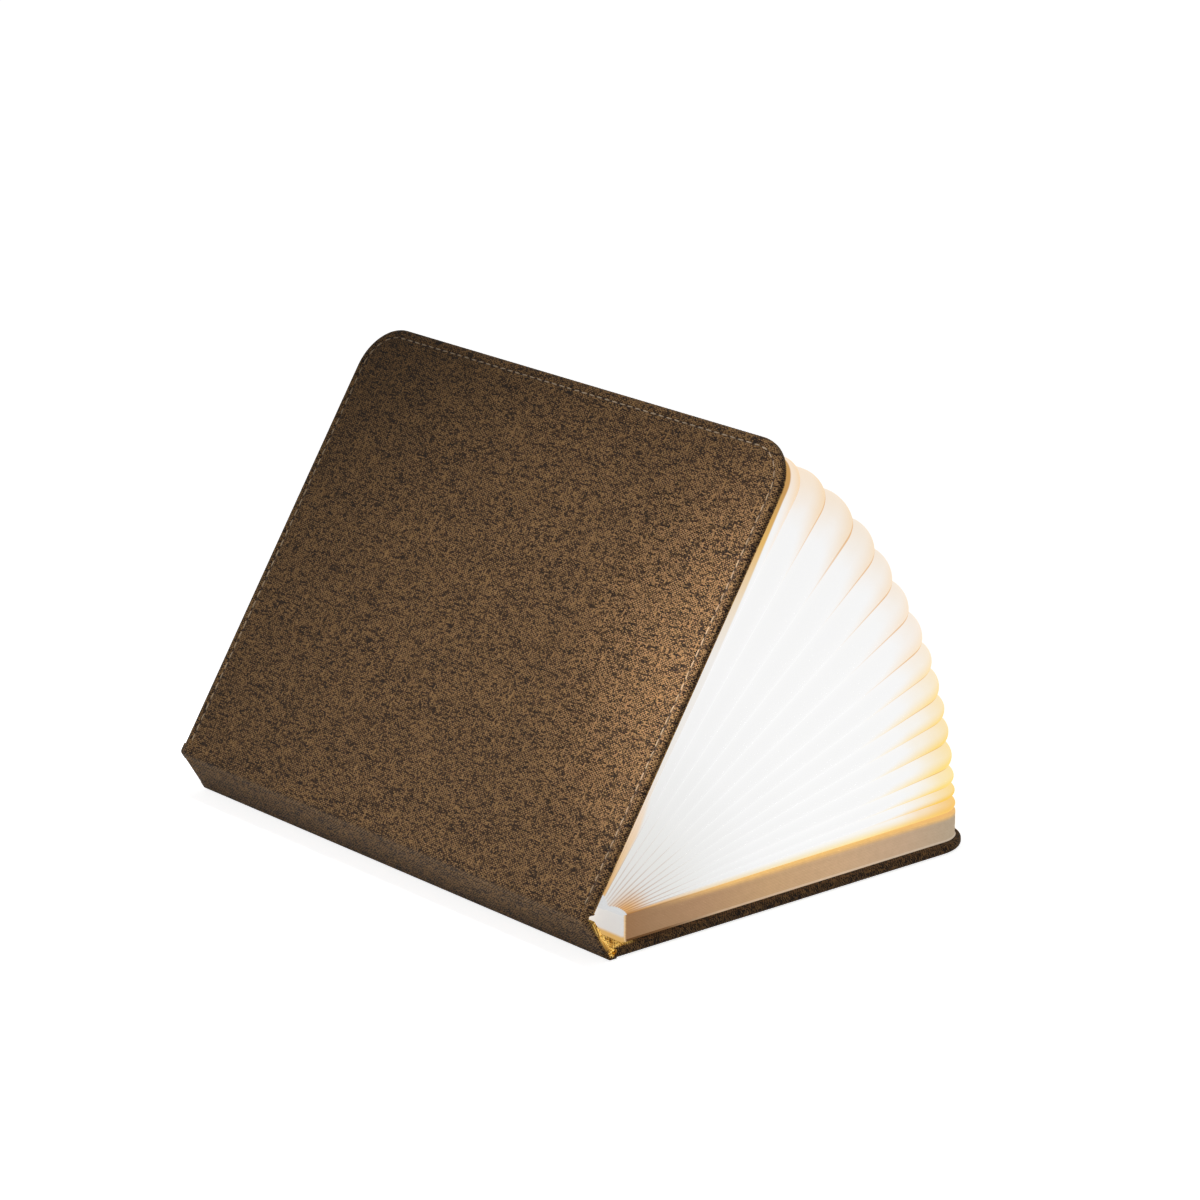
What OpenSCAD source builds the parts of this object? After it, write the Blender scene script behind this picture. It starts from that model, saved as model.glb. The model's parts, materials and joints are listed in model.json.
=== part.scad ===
// Folding book lamp: a cloth-bound book whose pages are one ring of folded paper that
// opens like a fan, with a battery light bar along the inside of the spine.
// It stands part open on its rear cover. The origin is the centre of that cover's flat
// bottom face; +X runs from the spine to the fore-edge, +Y along the spine, +Z up.
// The head end, with no socket, is at -Y and the tail end is at +Y.

/* [Covers] */
// Length of the book along its spine
book_l = 215; // [205:1:230]
// Width of a cover, from its hinge axis to the fore-edge
cover_w = 162; // [150:1:172]
// Thickness of a finished cover
cover_t = 3; // [2.8:0.1:3.2]
// Radius of a cover's two fore-edge corners
corner_r = 16.5; // [10:0.5:20]
// Thickness of the covering cloth
cloth_t = 0.5; // [0.4:0.05:0.6]
// Width of the cloth border folded over inside a cover
turn_in = 13; // [8:1:18]
// Bare cloth between a hinge axis and the stiff panels beside it
hinge_gap = 2.4; // [2.2:0.1:2.8]
// Distance between the two hinge axes, across the spine
hinge_pitch = 16.7; // [16.7:0.1:20]

/* [Opening] */
// How far the spine has turned up from the closed book
rear_open = 32.1; // [20:0.1:45]
// How far the front cover has turned up from the spine
front_open = 25.2; // [15:0.1:40]

/* [Pages] */
// Half the length of the pages along the spine
page_half_l = 104.5; // [98:0.5:104.5]
// Distance from a hinge axis to the pages' spine side
page_start = 7.4; // [7.4:0.1:9]
// Distance from a hinge axis to the pages' fore-edge
page_end = 159; // [145:0.5:159]
// Corner radius of the pages at the fore-edge
page_r = 11; // [6:0.5:14]
// Depth of a fold at the head, fore-edge and tail
fold_depth = 8; // [6:0.5:9]
// Depth of a fold at the spine side
spine_fold = 1; // [0.6:0.1:1.6]
// Thickness of the end paper between the pages and the rear cover
end_paper_t = 0.7; // [0.4:0.1:0.9]
// Height of the closed pages on the rear cover, over the hinge axis
block_top = 10.4; // [9:0.1:10.4]
// Depth of the closed pages on the front cover, under the hinge axis
stack_bottom = 3.5; // [3:0.1:3.5]
// Rise from one leaf to the next when the book is closed
leaf_rise = 0.17; // [0.12:0.01:0.17]
// How far the leaves in the upper part of the fan stand out past the others
fan_bulge = 2.8; // [0:0.1:2.8]

/* [Stitching] */
// Distance of the stitching from the cover's edge
stitch_inset = 3.2; // [2.5:0.1:8]
// Distance from one stitch to the next
stitch_pitch = 3.82; // [3.2:0.01:4.5]
// Length of one stitch
stitch_l = 2.7; // [2:0.1:2.9]

/* [Light bar] */
// Half the length of the light bar's tray
bar_half_l = 90; // [85:1:92]
// Number of light-emitting chips
led_count = 14; // [8:1:18]
// Length of the flat battery
battery_l = 128; // [90:1:130]

/* [Hidden] */
$fn = 64;
rear_shares = [1.7, 1.6, 2.2, 3.3, 3.2, 3.0, 3.8, 3.6, 4.7, 5.0]; // share of each rear fold
front_shares = [5.2, 5.3, 6.2, 5.2, 3.3];                         // share of each front fold
rear_folds = len(rear_shares);
front_folds = len(front_shares);
half_l = book_l / 2;
half_t = cover_t / 2;
axis_x = -(hinge_gap + cover_w) / 2;  // hinge axis of the rear cover
board_t = cover_t - 2 * cloth_t;
lining_t = cloth_t - 0.05;
first_leaf = block_top + 0.1;         // height of leaf 0 over the rear hinge axis
spine_end_r = 1;                      // corner radius of the pages at the spine side
arc_steps = 5;
profile_steps = 10;
profile_power = 2.2;                  // over 2 rounds a fold's ridge and stands its walls up
fold_wall = 0.06;                     // wall of a fold, as a share of its depth
fold_narrow = 0.9;                    // width of a fold's inside, as a share of its outside
bulge_power = 2.2;                    // over 1 puts the fan's bulge nearer the front cover
closed_depth = 1.3;                   // width of the closed pages' ring, as a share of a fold's depth
groove_w = 0.9;
groove_d = 0.28;
stitch_w = 0.6;
stitch_t = 0.22;
magnet_r = 4;
magnet_t = 1.2;
magnet_in = 15;                       // magnet's distance from the two edges beside it
switch_magnet_r = 1.5;
switch_magnet_at = [6, -84];
fit_gap = 0.1;                        // clearance round a magnet in its pocket

// Light bar sizes in the spine's frame: x is the depth from the hinge plane, z runs from
// the rear hinge to the front one.
tape_t = 0.3;
tray_x = half_t + tape_t;
tray_depth = 3.8;
tray_wall = 0.6;
bar_z = 2.2;
bar_w = hinge_pitch - 2 * bar_z;
bar_top = 7;                          // outer face of the diffuser
tray_top = tray_x + tray_depth;
channel_r = 1;                        // screw channels in the tray's corners
channel_bore = 0.55;
channel_in = tray_wall + channel_r - 0.15; // channel's middle from the tray's outside
channel_x = tray_x + channel_in;
channel_z = [bar_z + channel_in, hinge_pitch - bar_z - channel_in];
led_board_t = 0.55;
led_board_y = [-88, 78];
led_size = [0.6, 2.8, 3];
cap_t = 1.5;
inner_x = tray_x + tray_wall + 0.05;  // lowest depth inside the tray
battery_w = 6.6;
battery_t = 2.5;
battery_y = -80;                      // head end of the battery
mid_z = hinge_pitch / 2;
control_t = 0.5;
control_y = [56, 90];
control_w = 6.8;
socket_w = 6.8;
socket_h = 2.6;
socket_l = 5.5;
socket_wall = 0.3;
socket_x = inner_x + control_t + socket_h / 2;
lead_r = 0.35;

// ---- Places -------------------------------------------------------------------------
// Each body has a frame at its hinge axis: x runs away from the hinge along the panel,
// and the rear cover's inside is at +z, the front cover's at -z and the spine's at +x.
module at_rear() translate([axis_x, 0, half_t]) children();
module at_spine() at_rear() rotate([0, -rear_open, 0]) children();
module at_front() at_spine() translate([0, 0, hinge_pitch]) rotate([0, -front_open, 0]) children();

// A 2D shape in the spine's (x, z) plane, run along Y.
module run_y(from, to) translate([0, to, 0]) rotate([90, 0, 0]) linear_extrude(to - from) children();

// ---- Covers -------------------------------------------------------------------------
// A panel from x = from to x = to with round fore-edge corners.
module panel_2d(from, to, half, r) {
    translate([from, -half]) square([to - r - from, 2 * half]);
    translate([from, r - half]) square([to - from, 2 * (half - r)]);
    for (side = [-1, 1]) translate([to - r, side * (half - r)]) circle(r);
}

// The outline of a cover drawn in by an inset.
module cover_2d(inset) {
    panel_2d(hinge_gap, cover_w - inset, half_l - inset, max(corner_r - inset, 1));
}

module magnet_places() {
    for (side = [-1, 1]) translate([cover_w - magnet_in, side * (half_l - magnet_in), 0]) children();
}

// Pieces of a cover are drawn with the outside face at z = 0 and the inside at cover_t.
module cover_board() {
    difference() {
        translate([0, 0, cloth_t]) linear_extrude(board_t)
            panel_2d(hinge_gap + cloth_t, cover_w - cloth_t, half_l - cloth_t, corner_r - cloth_t);
        magnet_places() translate([0, 0, cloth_t]) cylinder(r = magnet_r + fit_gap, h = magnet_t + fit_gap);
        translate([switch_magnet_at.x, switch_magnet_at.y, cover_t - cloth_t - magnet_t - fit_gap])
            cylinder(r = switch_magnet_r + fit_gap, h = magnet_t + 1);
    }
}

module cover_magnets() magnet_places() translate([0, 0, cloth_t]) cylinder(r = magnet_r, h = magnet_t);

module cover_cloth() {
    difference() {
        linear_extrude(cover_t) cover_2d(0);
        translate([0, 0, cloth_t]) linear_extrude(board_t)
            panel_2d(hinge_gap + cloth_t, cover_w - cloth_t, half_l - cloth_t, corner_r - cloth_t);
        translate([0, 0, cover_t - cloth_t - 0.01]) linear_extrude(cloth_t + 1)
            panel_2d(hinge_gap + cloth_t, cover_w - turn_in, half_l - turn_in, 2);
        translate([0, 0, -1]) linear_extrude(groove_d + 1) difference() {
            cover_2d(stitch_inset - groove_w / 2);
            cover_2d(stitch_inset + groove_w / 2);
        }
    }
}

module cover_lining() {
    translate([0, 0, cover_t - cloth_t]) linear_extrude(lining_t)
        panel_2d(hinge_gap + cloth_t, cover_w - turn_in, half_l - turn_in, 2);
}

// The stitches follow the head, fore-edge and tail; along(s) is a place and a heading.
stitch_r = corner_r - stitch_inset;
stitch_x = cover_w - corner_r;        // where the straight head and tail rows end
stitch_y = half_l - corner_r;
head_run = stitch_x - hinge_gap - 1;
arc_run = stitch_r * PI / 2;
fore_run = 2 * stitch_y;
stitch_run = 2 * head_run + 2 * arc_run + fore_run;
function head_row(s) = [hinge_gap + 1 + s, -(half_l - stitch_inset), 0];
function corner_row(a) = [stitch_x + stitch_r * sin(a), -stitch_y - stitch_r * cos(a), a];
function fore_row(s) = [cover_w - stitch_inset, s - stitch_y, 90];
function along_half(s) =
    s < head_run ? head_row(s)
    : s < head_run + arc_run ? corner_row((s - head_run) / stitch_r * 180 / PI)
    : fore_row(s - head_run - arc_run);
function mirrored(p) = [p[0], -p[1], -p[2]];
function along(s) = s < stitch_run / 2 ? along_half(s) : mirrored(along_half(stitch_run - s));

module cover_stitching() {
    count = floor(stitch_run / stitch_pitch);
    for (i = [0 : count - 1]) {
        p = along((i + 0.5) * stitch_run / count);
        translate([p[0], p[1], groove_d - stitch_t]) rotate([0, 0, p[2]])
            translate([-stitch_l / 2, -stitch_w / 2, 0]) cube([stitch_l, stitch_w, stitch_t]);
    }
}

module rear_cover_place() at_rear() translate([0, 0, -half_t]) children();
module front_cover_place() at_front() mirror([0, 0, 1]) translate([0, 0, -half_t]) children();

module rear_board() color("#b9a98c") rear_cover_place() cover_board();
module rear_cloth() color("#64503c") rear_cover_place() cover_cloth();
module rear_lining() color("#efe6d6") rear_cover_place() cover_lining();
module rear_stitching() color("#a08660") rear_cover_place() cover_stitching();
module rear_magnets() color("#b8bcc0") rear_cover_place() cover_magnets();
module front_board() color("#b9a98c") front_cover_place() cover_board();
module front_cloth() color("#64503c") front_cover_place() cover_cloth();
module front_lining() color("#efe6d6") front_cover_place() cover_lining();
module front_stitching() color("#a08660") front_cover_place() cover_stitching();
module front_magnets() color("#b8bcc0") front_cover_place() cover_magnets();
module switch_magnet() {
    color("#b8bcc0") front_cover_place()
        translate([switch_magnet_at.x, switch_magnet_at.y, cover_t - cloth_t - magnet_t])
            cylinder(r = switch_magnet_r, h = magnet_t);
}

// ---- Spine --------------------------------------------------------------------------
spine_z = [hinge_gap, hinge_pitch - hinge_gap];

module spine_section(inset) {
    translate([-half_t + inset, spine_z[0] + inset])
        square([cover_t - 2 * inset, spine_z[1] - spine_z[0] - 2 * inset]);
}

module spine_board() {
    color("#b9a98c") at_spine() run_y(-half_l + cloth_t, half_l - cloth_t) spine_section(cloth_t);
}

module spine_cloth() {
    color("#58432f") at_spine() difference() {
        run_y(-half_l, half_l) spine_section(0);
        run_y(-half_l + cloth_t, half_l - cloth_t) spine_section(cloth_t);
        run_y(-half_l + turn_in, half_l - turn_in)
            translate([half_t - cloth_t - 0.01, spine_z[0] + cloth_t])
                square([cloth_t + 1, spine_z[1] - spine_z[0] - 2 * cloth_t]);
    }
}

module spine_lining() {
    color("#efe6d6") at_spine() run_y(-half_l + turn_in, half_l - turn_in)
        translate([half_t - cloth_t, spine_z[0] + cloth_t])
            square([lining_t, spine_z[1] - spine_z[0] - 2 * cloth_t]);
}

// The soft cloth of a hinge: it leaves one panel, turns round the hinge axis through the
// angle between the panels' outer faces, and meets the other panel.
module hinge_section(turn) {
    reach = hinge_gap - 0.05;
    translate([0, -half_t]) square([reach, 2 * cloth_t]);
    rotate(-turn) translate([-reach, -half_t]) square([reach, 2 * cloth_t]);
    difference() {
        circle(half_t);
        circle(half_t - 2 * cloth_t);
        translate([0, -cover_t]) square([cover_t, 2 * cover_t]);
        rotate(-turn) translate([-cover_t, -cover_t]) square([cover_t, 2 * cover_t]);
        translate([-cover_t, 0]) square([2 * cover_t, cover_t]);
    }
}

module rear_hinge_cloth() {
    color("#6b543a") at_rear() run_y(-half_l, half_l) hinge_section(90 - rear_open);
}

module front_hinge_cloth() {
    color("#6b543a") at_front() mirror([0, 0, 1]) run_y(-half_l, half_l) hinge_section(90 - front_open);
}

// ---- Pages --------------------------------------------------------------------------
// A ring of paper seen in plan, from the spine side to the fore-edge, as [x, y] points.
function arc_points(x, y, r, from) =
    [for (i = [0 : arc_steps]) let (a = from + 90 * i / arc_steps) [x + r * cos(a), y + r * sin(a)]];
function ring_points(from, to, half, r) = concat(
    [[from, half - spine_end_r], [from, -half + spine_end_r], [from + spine_end_r, -half]],
    arc_points(to - r, r - half, r, -90),
    arc_points(to - r, half - r, r, 0),
    [[from + spine_end_r, half]]);
ridge_ring = ring_points(page_start, page_end, page_half_l, page_r);
valley_ring = ring_points(page_start + spine_fold, page_end - fold_depth, page_half_l - fold_depth,
    max(page_r - fold_depth, 3));

module closed_pages(height) {
    linear_extrude(height) difference() {
        polygon(ridge_ring);
        polygon([for (i = [0 : len(ridge_ring) - 1])
            ridge_ring[i] + closed_depth * (valley_ring[i] - ridge_ring[i])]);
    }
}

module rear_end_paper() {
    color("#e9dcc4") at_rear() translate([0, 0, half_t]) linear_extrude(end_paper_t) polygon(ridge_ring);
}

module rear_page_block() {
    bottom = half_t + end_paper_t;
    color("#f0e2c8") at_rear() translate([0, 0, bottom]) closed_pages(block_top - bottom);
}

front_paper_t = 0.4;

module front_end_paper() {
    color("#e9dcc4") at_front() translate([0, 0, -half_t - front_paper_t])
        linear_extrude(front_paper_t) polygon(ridge_ring);
}

module front_page_stack() {
    color("#f0e2c8") at_front() translate([0, 0, -stack_bottom])
        closed_pages(stack_bottom - half_t - front_paper_t);
}

// An open fold is a thin wall that runs once round the ring. Its section goes from one
// leaf's valley over a round ridge to the next leaf's valley, as [part of the way from leaf
// to leaf, part of the fold's depth], and back along the inside.
function fold_level(t) = 1 - pow(1 - pow(abs(2 * t - 1), profile_power), 1 / profile_power);
fold_outside = [for (i = [0 : profile_steps])
    let (t = 0.5 - 0.48 * cos(180 * i / profile_steps)) [t, fold_level(t)]];
fold_inside = [for (i = [profile_steps : -1 : 0]) let (p = fold_outside[i])
    [0.5 + (p[0] - 0.5) * fold_narrow, p[1] * (1 - fold_wall) + fold_wall * (1 + p[1])]];
fold_section = concat(fold_outside, fold_inside);

// A point at ring station j and section point q, for a fold whose leaves lie at angles
// turn[0] and turn[1] about the hinge axis, at heights rise[0] and rise[1] from it, and
// stand out by bulge[0] and bulge[1] at the fore-edge.
function between(pair, t) = pair[0] + t * (pair[1] - pair[0]);
function fold_point(j, q, turn, rise, bulge) = let (
    p = ridge_ring[j] + q[1] * (valley_ring[j] - ridge_ring[j]),
    x = p[0] + between(bulge, q[0]) * (p[0] - page_start) / (page_end - page_start),
    a = between(turn, q[0]),
    h = between(rise, q[0])
) [x * cos(a) - h * sin(a), p[1], x * sin(a) + h * cos(a)];

module fold(turn, rise, bulge) {
    stations = len(ridge_ring);
    sides = len(fold_section);
    points = [for (j = [0 : stations - 1]) for (q = fold_section) fold_point(j, q, turn, rise, bulge)];
    function at(j, i) = (j % stations) * sides + i % sides;
    faces = [for (j = [0 : stations - 1]) for (i = [0 : sides - 1]) each [
        [at(j, i), at(j + 1, i), at(j + 1, i + 1)],
        [at(j, i), at(j + 1, i + 1), at(j, i + 1)]]];
    polyhedron(points, faces, convexity = 6);
}

function sum_to(list, n) = n == 0 ? 0 : list[n - 1] + sum_to(list, n - 1);
rear_total = sum_to(rear_shares, rear_folds);
front_total = sum_to(front_shares, front_folds);
function rear_turn(n) = rear_open * sum_to(rear_shares, n) / rear_total;
function front_turn(n) = front_open * (sum_to(front_shares, n) / front_total - 1);
function leaf_height(n) = first_leaf + n * leaf_rise;
function leaf_bulge(n) = fan_bulge * sin(180 * pow(n / (rear_folds + front_folds), bulge_power));

// Folds 1 to rear_folds turn about the rear hinge, the others about the front hinge.
module pleat(n) {
    rise = [leaf_height(n - 1), leaf_height(n)];
    bulge = [leaf_bulge(n - 1), leaf_bulge(n)];
    m = n - rear_folds;
    shade = 0.93 - 0.08 * n / (rear_folds + front_folds);
    color([1, shade, shade - 0.15])
        if (m <= 0) at_rear() fold([rear_turn(n - 1), rear_turn(n)], rise, bulge);
        else at_front() fold([front_turn(m - 1), front_turn(m)], rise - [hinge_pitch, hinge_pitch], bulge);
}

// ---- Light bar ----------------------------------------------------------------------
module channel_places() for (z = channel_z) translate([channel_x, z]) children();

module mounting_tape() {
    color("#d8d8d4") at_spine() run_y(-bar_half_l + 2, bar_half_l - 2)
        translate([half_t, bar_z + 0.8]) square([tape_t, bar_w - 1.6]);
}

module bar_tray() {
    color("#d9dbdc") at_spine() run_y(-bar_half_l, bar_half_l) difference() {
        union() {
            difference() {
                translate([tray_x, bar_z]) square([tray_depth, bar_w]);
                translate([tray_x + tray_wall, bar_z + tray_wall])
                    square([tray_depth, bar_w - 2 * tray_wall]);
            }
            channel_places() circle(channel_r);
            for (z = channel_z) translate([channel_x, z > mid_z ? z : z - channel_r])
                square([channel_r, channel_r]);
        }
        channel_places() circle(channel_bore);
    }
}

module diffuser() {
    color("#fff6e4") at_spine() run_y(-bar_half_l, bar_half_l) difference() {
        union() {
            translate([tray_top, bar_z]) square([bar_top - tray_top - 0.5, bar_w]);
            translate([tray_top, bar_z + 0.5]) square([bar_top - tray_top, bar_w - 1]);
            for (z = [bar_z + 0.5, bar_z + bar_w - 0.5]) translate([bar_top - 0.5, z]) circle(0.5);
        }
        translate([tray_top - 1, bar_z + tray_wall])
            square([bar_top - tray_top + 1 - tray_wall, bar_w - 2 * tray_wall]);
    }
}

module end_cap_section() {
    difference() {
        translate([tray_x, bar_z]) square([bar_top - tray_x, bar_w]);
        channel_places() circle(channel_bore + 0.15);
    }
}

module head_end_cap() color("#e8e6e0") at_spine() run_y(-bar_half_l - cap_t, -bar_half_l) end_cap_section();

module socket_outline(grow) {
    for (side = [-1, 1]) translate([socket_x, mid_z + side * (socket_w - socket_h) / 2])
        circle(socket_h / 2 + grow);
    translate([socket_x - socket_h / 2 - grow, mid_z - (socket_w - socket_h) / 2])
        square([socket_h + 2 * grow, socket_w - socket_h]);
}

indicator_r = 0.45;
indicator_x = 5.85;
indicator_z = mid_z + 4.4;            // beside the socket, between it and the cap's edge

module tail_end_cap() {
    color("#e8e6e0") at_spine() run_y(bar_half_l, bar_half_l + cap_t) difference() {
        end_cap_section();
        socket_outline(0.1);
        translate([indicator_x, indicator_z]) circle(indicator_r + 0.05);
    }
}

module cap_screws() {
    color("#9aa0a6") at_spine() for (side = [-1, 1]) for (z = channel_z)
        translate([channel_x, side * (bar_half_l + cap_t), z]) rotate([side * 90, 0, 0]) {
            cylinder(r = channel_bore - 0.05, h = 7);
            translate([0, 0, -0.6]) cylinder(r = channel_r, h = 0.6);
        }
}

module led_board() {
    color("#f4f4ee") at_spine() run_y(led_board_y[0], led_board_y[1])
        translate([tray_top - led_board_t, bar_z + tray_wall + 0.1])
            square([led_board_t, bar_w - 2 * tray_wall - 0.2]);
}

led_step = (led_board_y[1] - led_board_y[0]) / (led_count + 1);

module leds() {
    color("#ffd76a") at_spine() for (i = [1 : led_count])
        translate([tray_top, led_board_y[0] + i * led_step - led_size.y / 2, mid_z - led_size.z / 2])
            cube(led_size);
}

module cover_sensor() {
    color("#2b2b2b") at_spine()
        translate([tray_top, switch_magnet_at.y - 1.5, hinge_pitch - bar_z - 3]) cube([0.7, 3, 1.6]);
}

module control_board() {
    color("#2f6b3f") at_spine() run_y(control_y[0], control_y[1])
        translate([inner_x, mid_z - control_w / 2]) square([control_t, control_w]);
}

module control_chips() {
    top = inner_x + control_t;
    color("#262626") at_spine() for (chip = [[61, 4, 0.9], [68, 3, 0.8], [74, 2.4, 0.7], [79, 4, 1]])
        translate([top, chip[0], mid_z - chip[1] / 2]) cube([chip[2], chip[1], chip[1]]);
}

module charging_socket() {
    color("#c4c7c9") at_spine() difference() {
        run_y(bar_half_l + cap_t - socket_l, bar_half_l + cap_t) socket_outline(0);
        run_y(bar_half_l + cap_t - socket_l + 0.6, bar_half_l + cap_t + 1) socket_outline(-socket_wall);
    }
}

module socket_tongue() {
    from = bar_half_l + cap_t - socket_l + 0.6;
    color("#1e1e1e") at_spine() run_y(from, from + 3.6)
        translate([socket_x - 0.3, mid_z - 1.9]) square([0.6, 3.8]);
}

module charge_indicator() {
    color("#ff8a3c") at_spine() translate([indicator_x, bar_half_l + cap_t, indicator_z])
        rotate([90, 0, 0]) cylinder(r = indicator_r, h = 6);
}

module battery() {
    color("#9fb4c4") at_spine() translate([inner_x, battery_y, mid_z - battery_w / 2])
        cube([battery_t, battery_l, battery_w]);
}

module battery_pads() {
    color("#3a3a3a") at_spine() for (y = [battery_y - 4, battery_y + battery_l])
        translate([inner_x, y, mid_z - battery_w / 2]) cube([1.3, 4, battery_w]);
}

module battery_leads() {
    from = battery_y + battery_l;
    to = control_y[0] + 3;
    lead_x = inner_x + battery_t - 0.6;
    color("#b3312a") at_spine() for (side = [-1, 1]) translate([lead_x, 0, mid_z + side * 0.9]) {
        translate([0, to, 0]) rotate([90, 0, 0]) cylinder(r = lead_r, h = to - from);
        translate([0, to - lead_r, 0]) rotate([0, -90, 0])
            cylinder(r = lead_r, h = lead_x - inner_x - control_t);
    }
}

rear_board();
rear_cloth();
rear_lining();
rear_stitching();
rear_magnets();
rear_end_paper();
rear_page_block();
front_board();
front_cloth();
front_lining();
front_stitching();
front_magnets();
switch_magnet();
front_end_paper();
front_page_stack();
spine_board();
spine_cloth();
spine_lining();
rear_hinge_cloth();
front_hinge_cloth();
pleat(1);  // pleat_01
pleat(2);  // pleat_02
pleat(3);  // pleat_03
pleat(4);  // pleat_04
pleat(5);  // pleat_05
pleat(6);  // pleat_06
pleat(7);  // pleat_07
pleat(8);  // pleat_08
pleat(9);  // pleat_09
pleat(10);  // pleat_10
pleat(11);  // pleat_11
pleat(12);  // pleat_12
pleat(13);  // pleat_13
pleat(14);  // pleat_14
pleat(15);  // pleat_15
mounting_tape();
bar_tray();
diffuser();
head_end_cap();
tail_end_cap();
cap_screws();
led_board();
leds();
cover_sensor();
control_board();
control_chips();
charging_socket();
socket_tongue();
charge_indicator();
battery();
battery_pads();
battery_leads();
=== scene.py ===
import json
import math
import bmesh
import bpy
import numpy as np
from mathutils import Matrix


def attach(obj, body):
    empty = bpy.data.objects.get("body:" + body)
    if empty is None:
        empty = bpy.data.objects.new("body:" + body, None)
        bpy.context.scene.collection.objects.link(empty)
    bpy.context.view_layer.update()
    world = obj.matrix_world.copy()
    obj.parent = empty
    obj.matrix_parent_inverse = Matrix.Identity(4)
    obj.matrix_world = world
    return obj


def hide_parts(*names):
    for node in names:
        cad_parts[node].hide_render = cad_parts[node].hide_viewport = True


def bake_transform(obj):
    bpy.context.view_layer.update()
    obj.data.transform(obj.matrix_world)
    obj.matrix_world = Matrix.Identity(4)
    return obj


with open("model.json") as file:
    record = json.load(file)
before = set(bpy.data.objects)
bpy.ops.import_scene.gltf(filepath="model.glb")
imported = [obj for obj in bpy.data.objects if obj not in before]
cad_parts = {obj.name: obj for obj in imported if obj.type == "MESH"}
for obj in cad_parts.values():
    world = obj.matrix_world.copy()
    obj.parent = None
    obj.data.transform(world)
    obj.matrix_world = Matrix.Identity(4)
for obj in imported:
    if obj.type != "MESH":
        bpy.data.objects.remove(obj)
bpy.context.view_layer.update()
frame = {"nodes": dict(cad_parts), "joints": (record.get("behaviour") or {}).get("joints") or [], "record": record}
print("frame loaded:", len(frame["nodes"]), "solids")

# the book's own measures, in millimetres
book = {
    "halfLength": 107.5, "coverWidth": 162.0, "thickness": 3.0, "cornerRadius": 16.5,
    "hingeGap": 2.4, "turnIn": 13.0,
    "pageHalf": 104.5, "pageStart": 7.4, "pageEnd": 159.0, "pageRadius": 11.0, "fanBulge": 2.8,
    "foldDepth": 8.0, "spineFold": 1.0, "valleyRadius": 3.0,
    "blockTop": 10.4, "blockBottom": 2.2, "stackBottom": 3.5, "stackTop": 1.9,
    "firstLeaf": 10.5, "leafRise": 0.17,
}
joints = {j["name"]: j for j in frame["joints"]}
ratios = {c["joint"]: c["ratio"] for c in frame["record"]["behaviour"]["couplings"]}
rearAxis = np.array(joints["rear_hinge"]["pos_m"]) * 1000
frontAxis = np.array(joints["front_hinge"]["pos_m"]) * 1000
rearOpen = -joints["rear_hinge"]["range_deg"][0]     # degrees from the closed book to rest
frontOpen = -joints["front_hinge"]["range_deg"][0]
hingePitch = float(np.linalg.norm(frontAxis - rearAxis))
seed = np.random.default_rng(7)                      # draws the stitches, then the leaves

# a panel's frame: its hinge axis, and how far it has turned up from the table
rearFrame = (rearAxis, 0.0)
spineFrame = (rearAxis, rearOpen)
frontFrame = (frontAxis, rearOpen + frontOpen)


def place(points, panel):
    # x along the panel and h off it, turned up about the panel's hinge axis
    axis, turn = panel
    c, s = math.cos(math.radians(turn)), math.sin(math.radians(turn))
    x, y, h = points[..., 0], points[..., 1], points[..., 2]
    return np.stack([axis[0] + x * c - h * s, y, axis[2] + x * s + h * c], -1)


def gridFaces(nu, nv, closedU, closedV):
    # the two grid numbers of every quad's four corners
    i, j = np.meshgrid(np.arange(nu - (not closedU)), np.arange(nv - (not closedV)), indexing="ij")
    return np.stack([i, i + 1, i + 1, i], -1).reshape(-1, 4), np.stack([j, j, j + 1, j + 1], -1).reshape(-1, 4)


def quadMesh(name, points, corners):
    # four-sided faces from points in metres and every face's four point numbers
    mesh = bpy.data.meshes.new(name)
    mesh.vertices.add(len(points))
    mesh.vertices.foreach_set("co", points.ravel())
    mesh.loops.add(corners.size)
    mesh.loops.foreach_set("vertex_index", np.ascontiguousarray(corners).ravel())
    mesh.polygons.add(len(corners))
    mesh.polygons.foreach_set("loop_start", np.arange(len(corners)) * 4)
    mesh.update(calc_edges=True)
    return mesh


def mergePoints(mesh, dropThin=False):
    bm = bmesh.new()
    bm.from_mesh(mesh)
    bmesh.ops.remove_doubles(bm, verts=bm.verts, dist=2e-6)
    if dropThin:
        bmesh.ops.dissolve_degenerate(bm, edges=bm.edges, dist=1e-7)
    bm.to_mesh(mesh)
    bm.free()


def smoothObject(name, mesh):
    mesh.polygons.foreach_set("use_smooth", np.ones(len(mesh.polygons), bool))
    obj = bpy.data.objects.new(name, mesh)
    bpy.context.scene.collection.objects.link(obj)
    return obj


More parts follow.
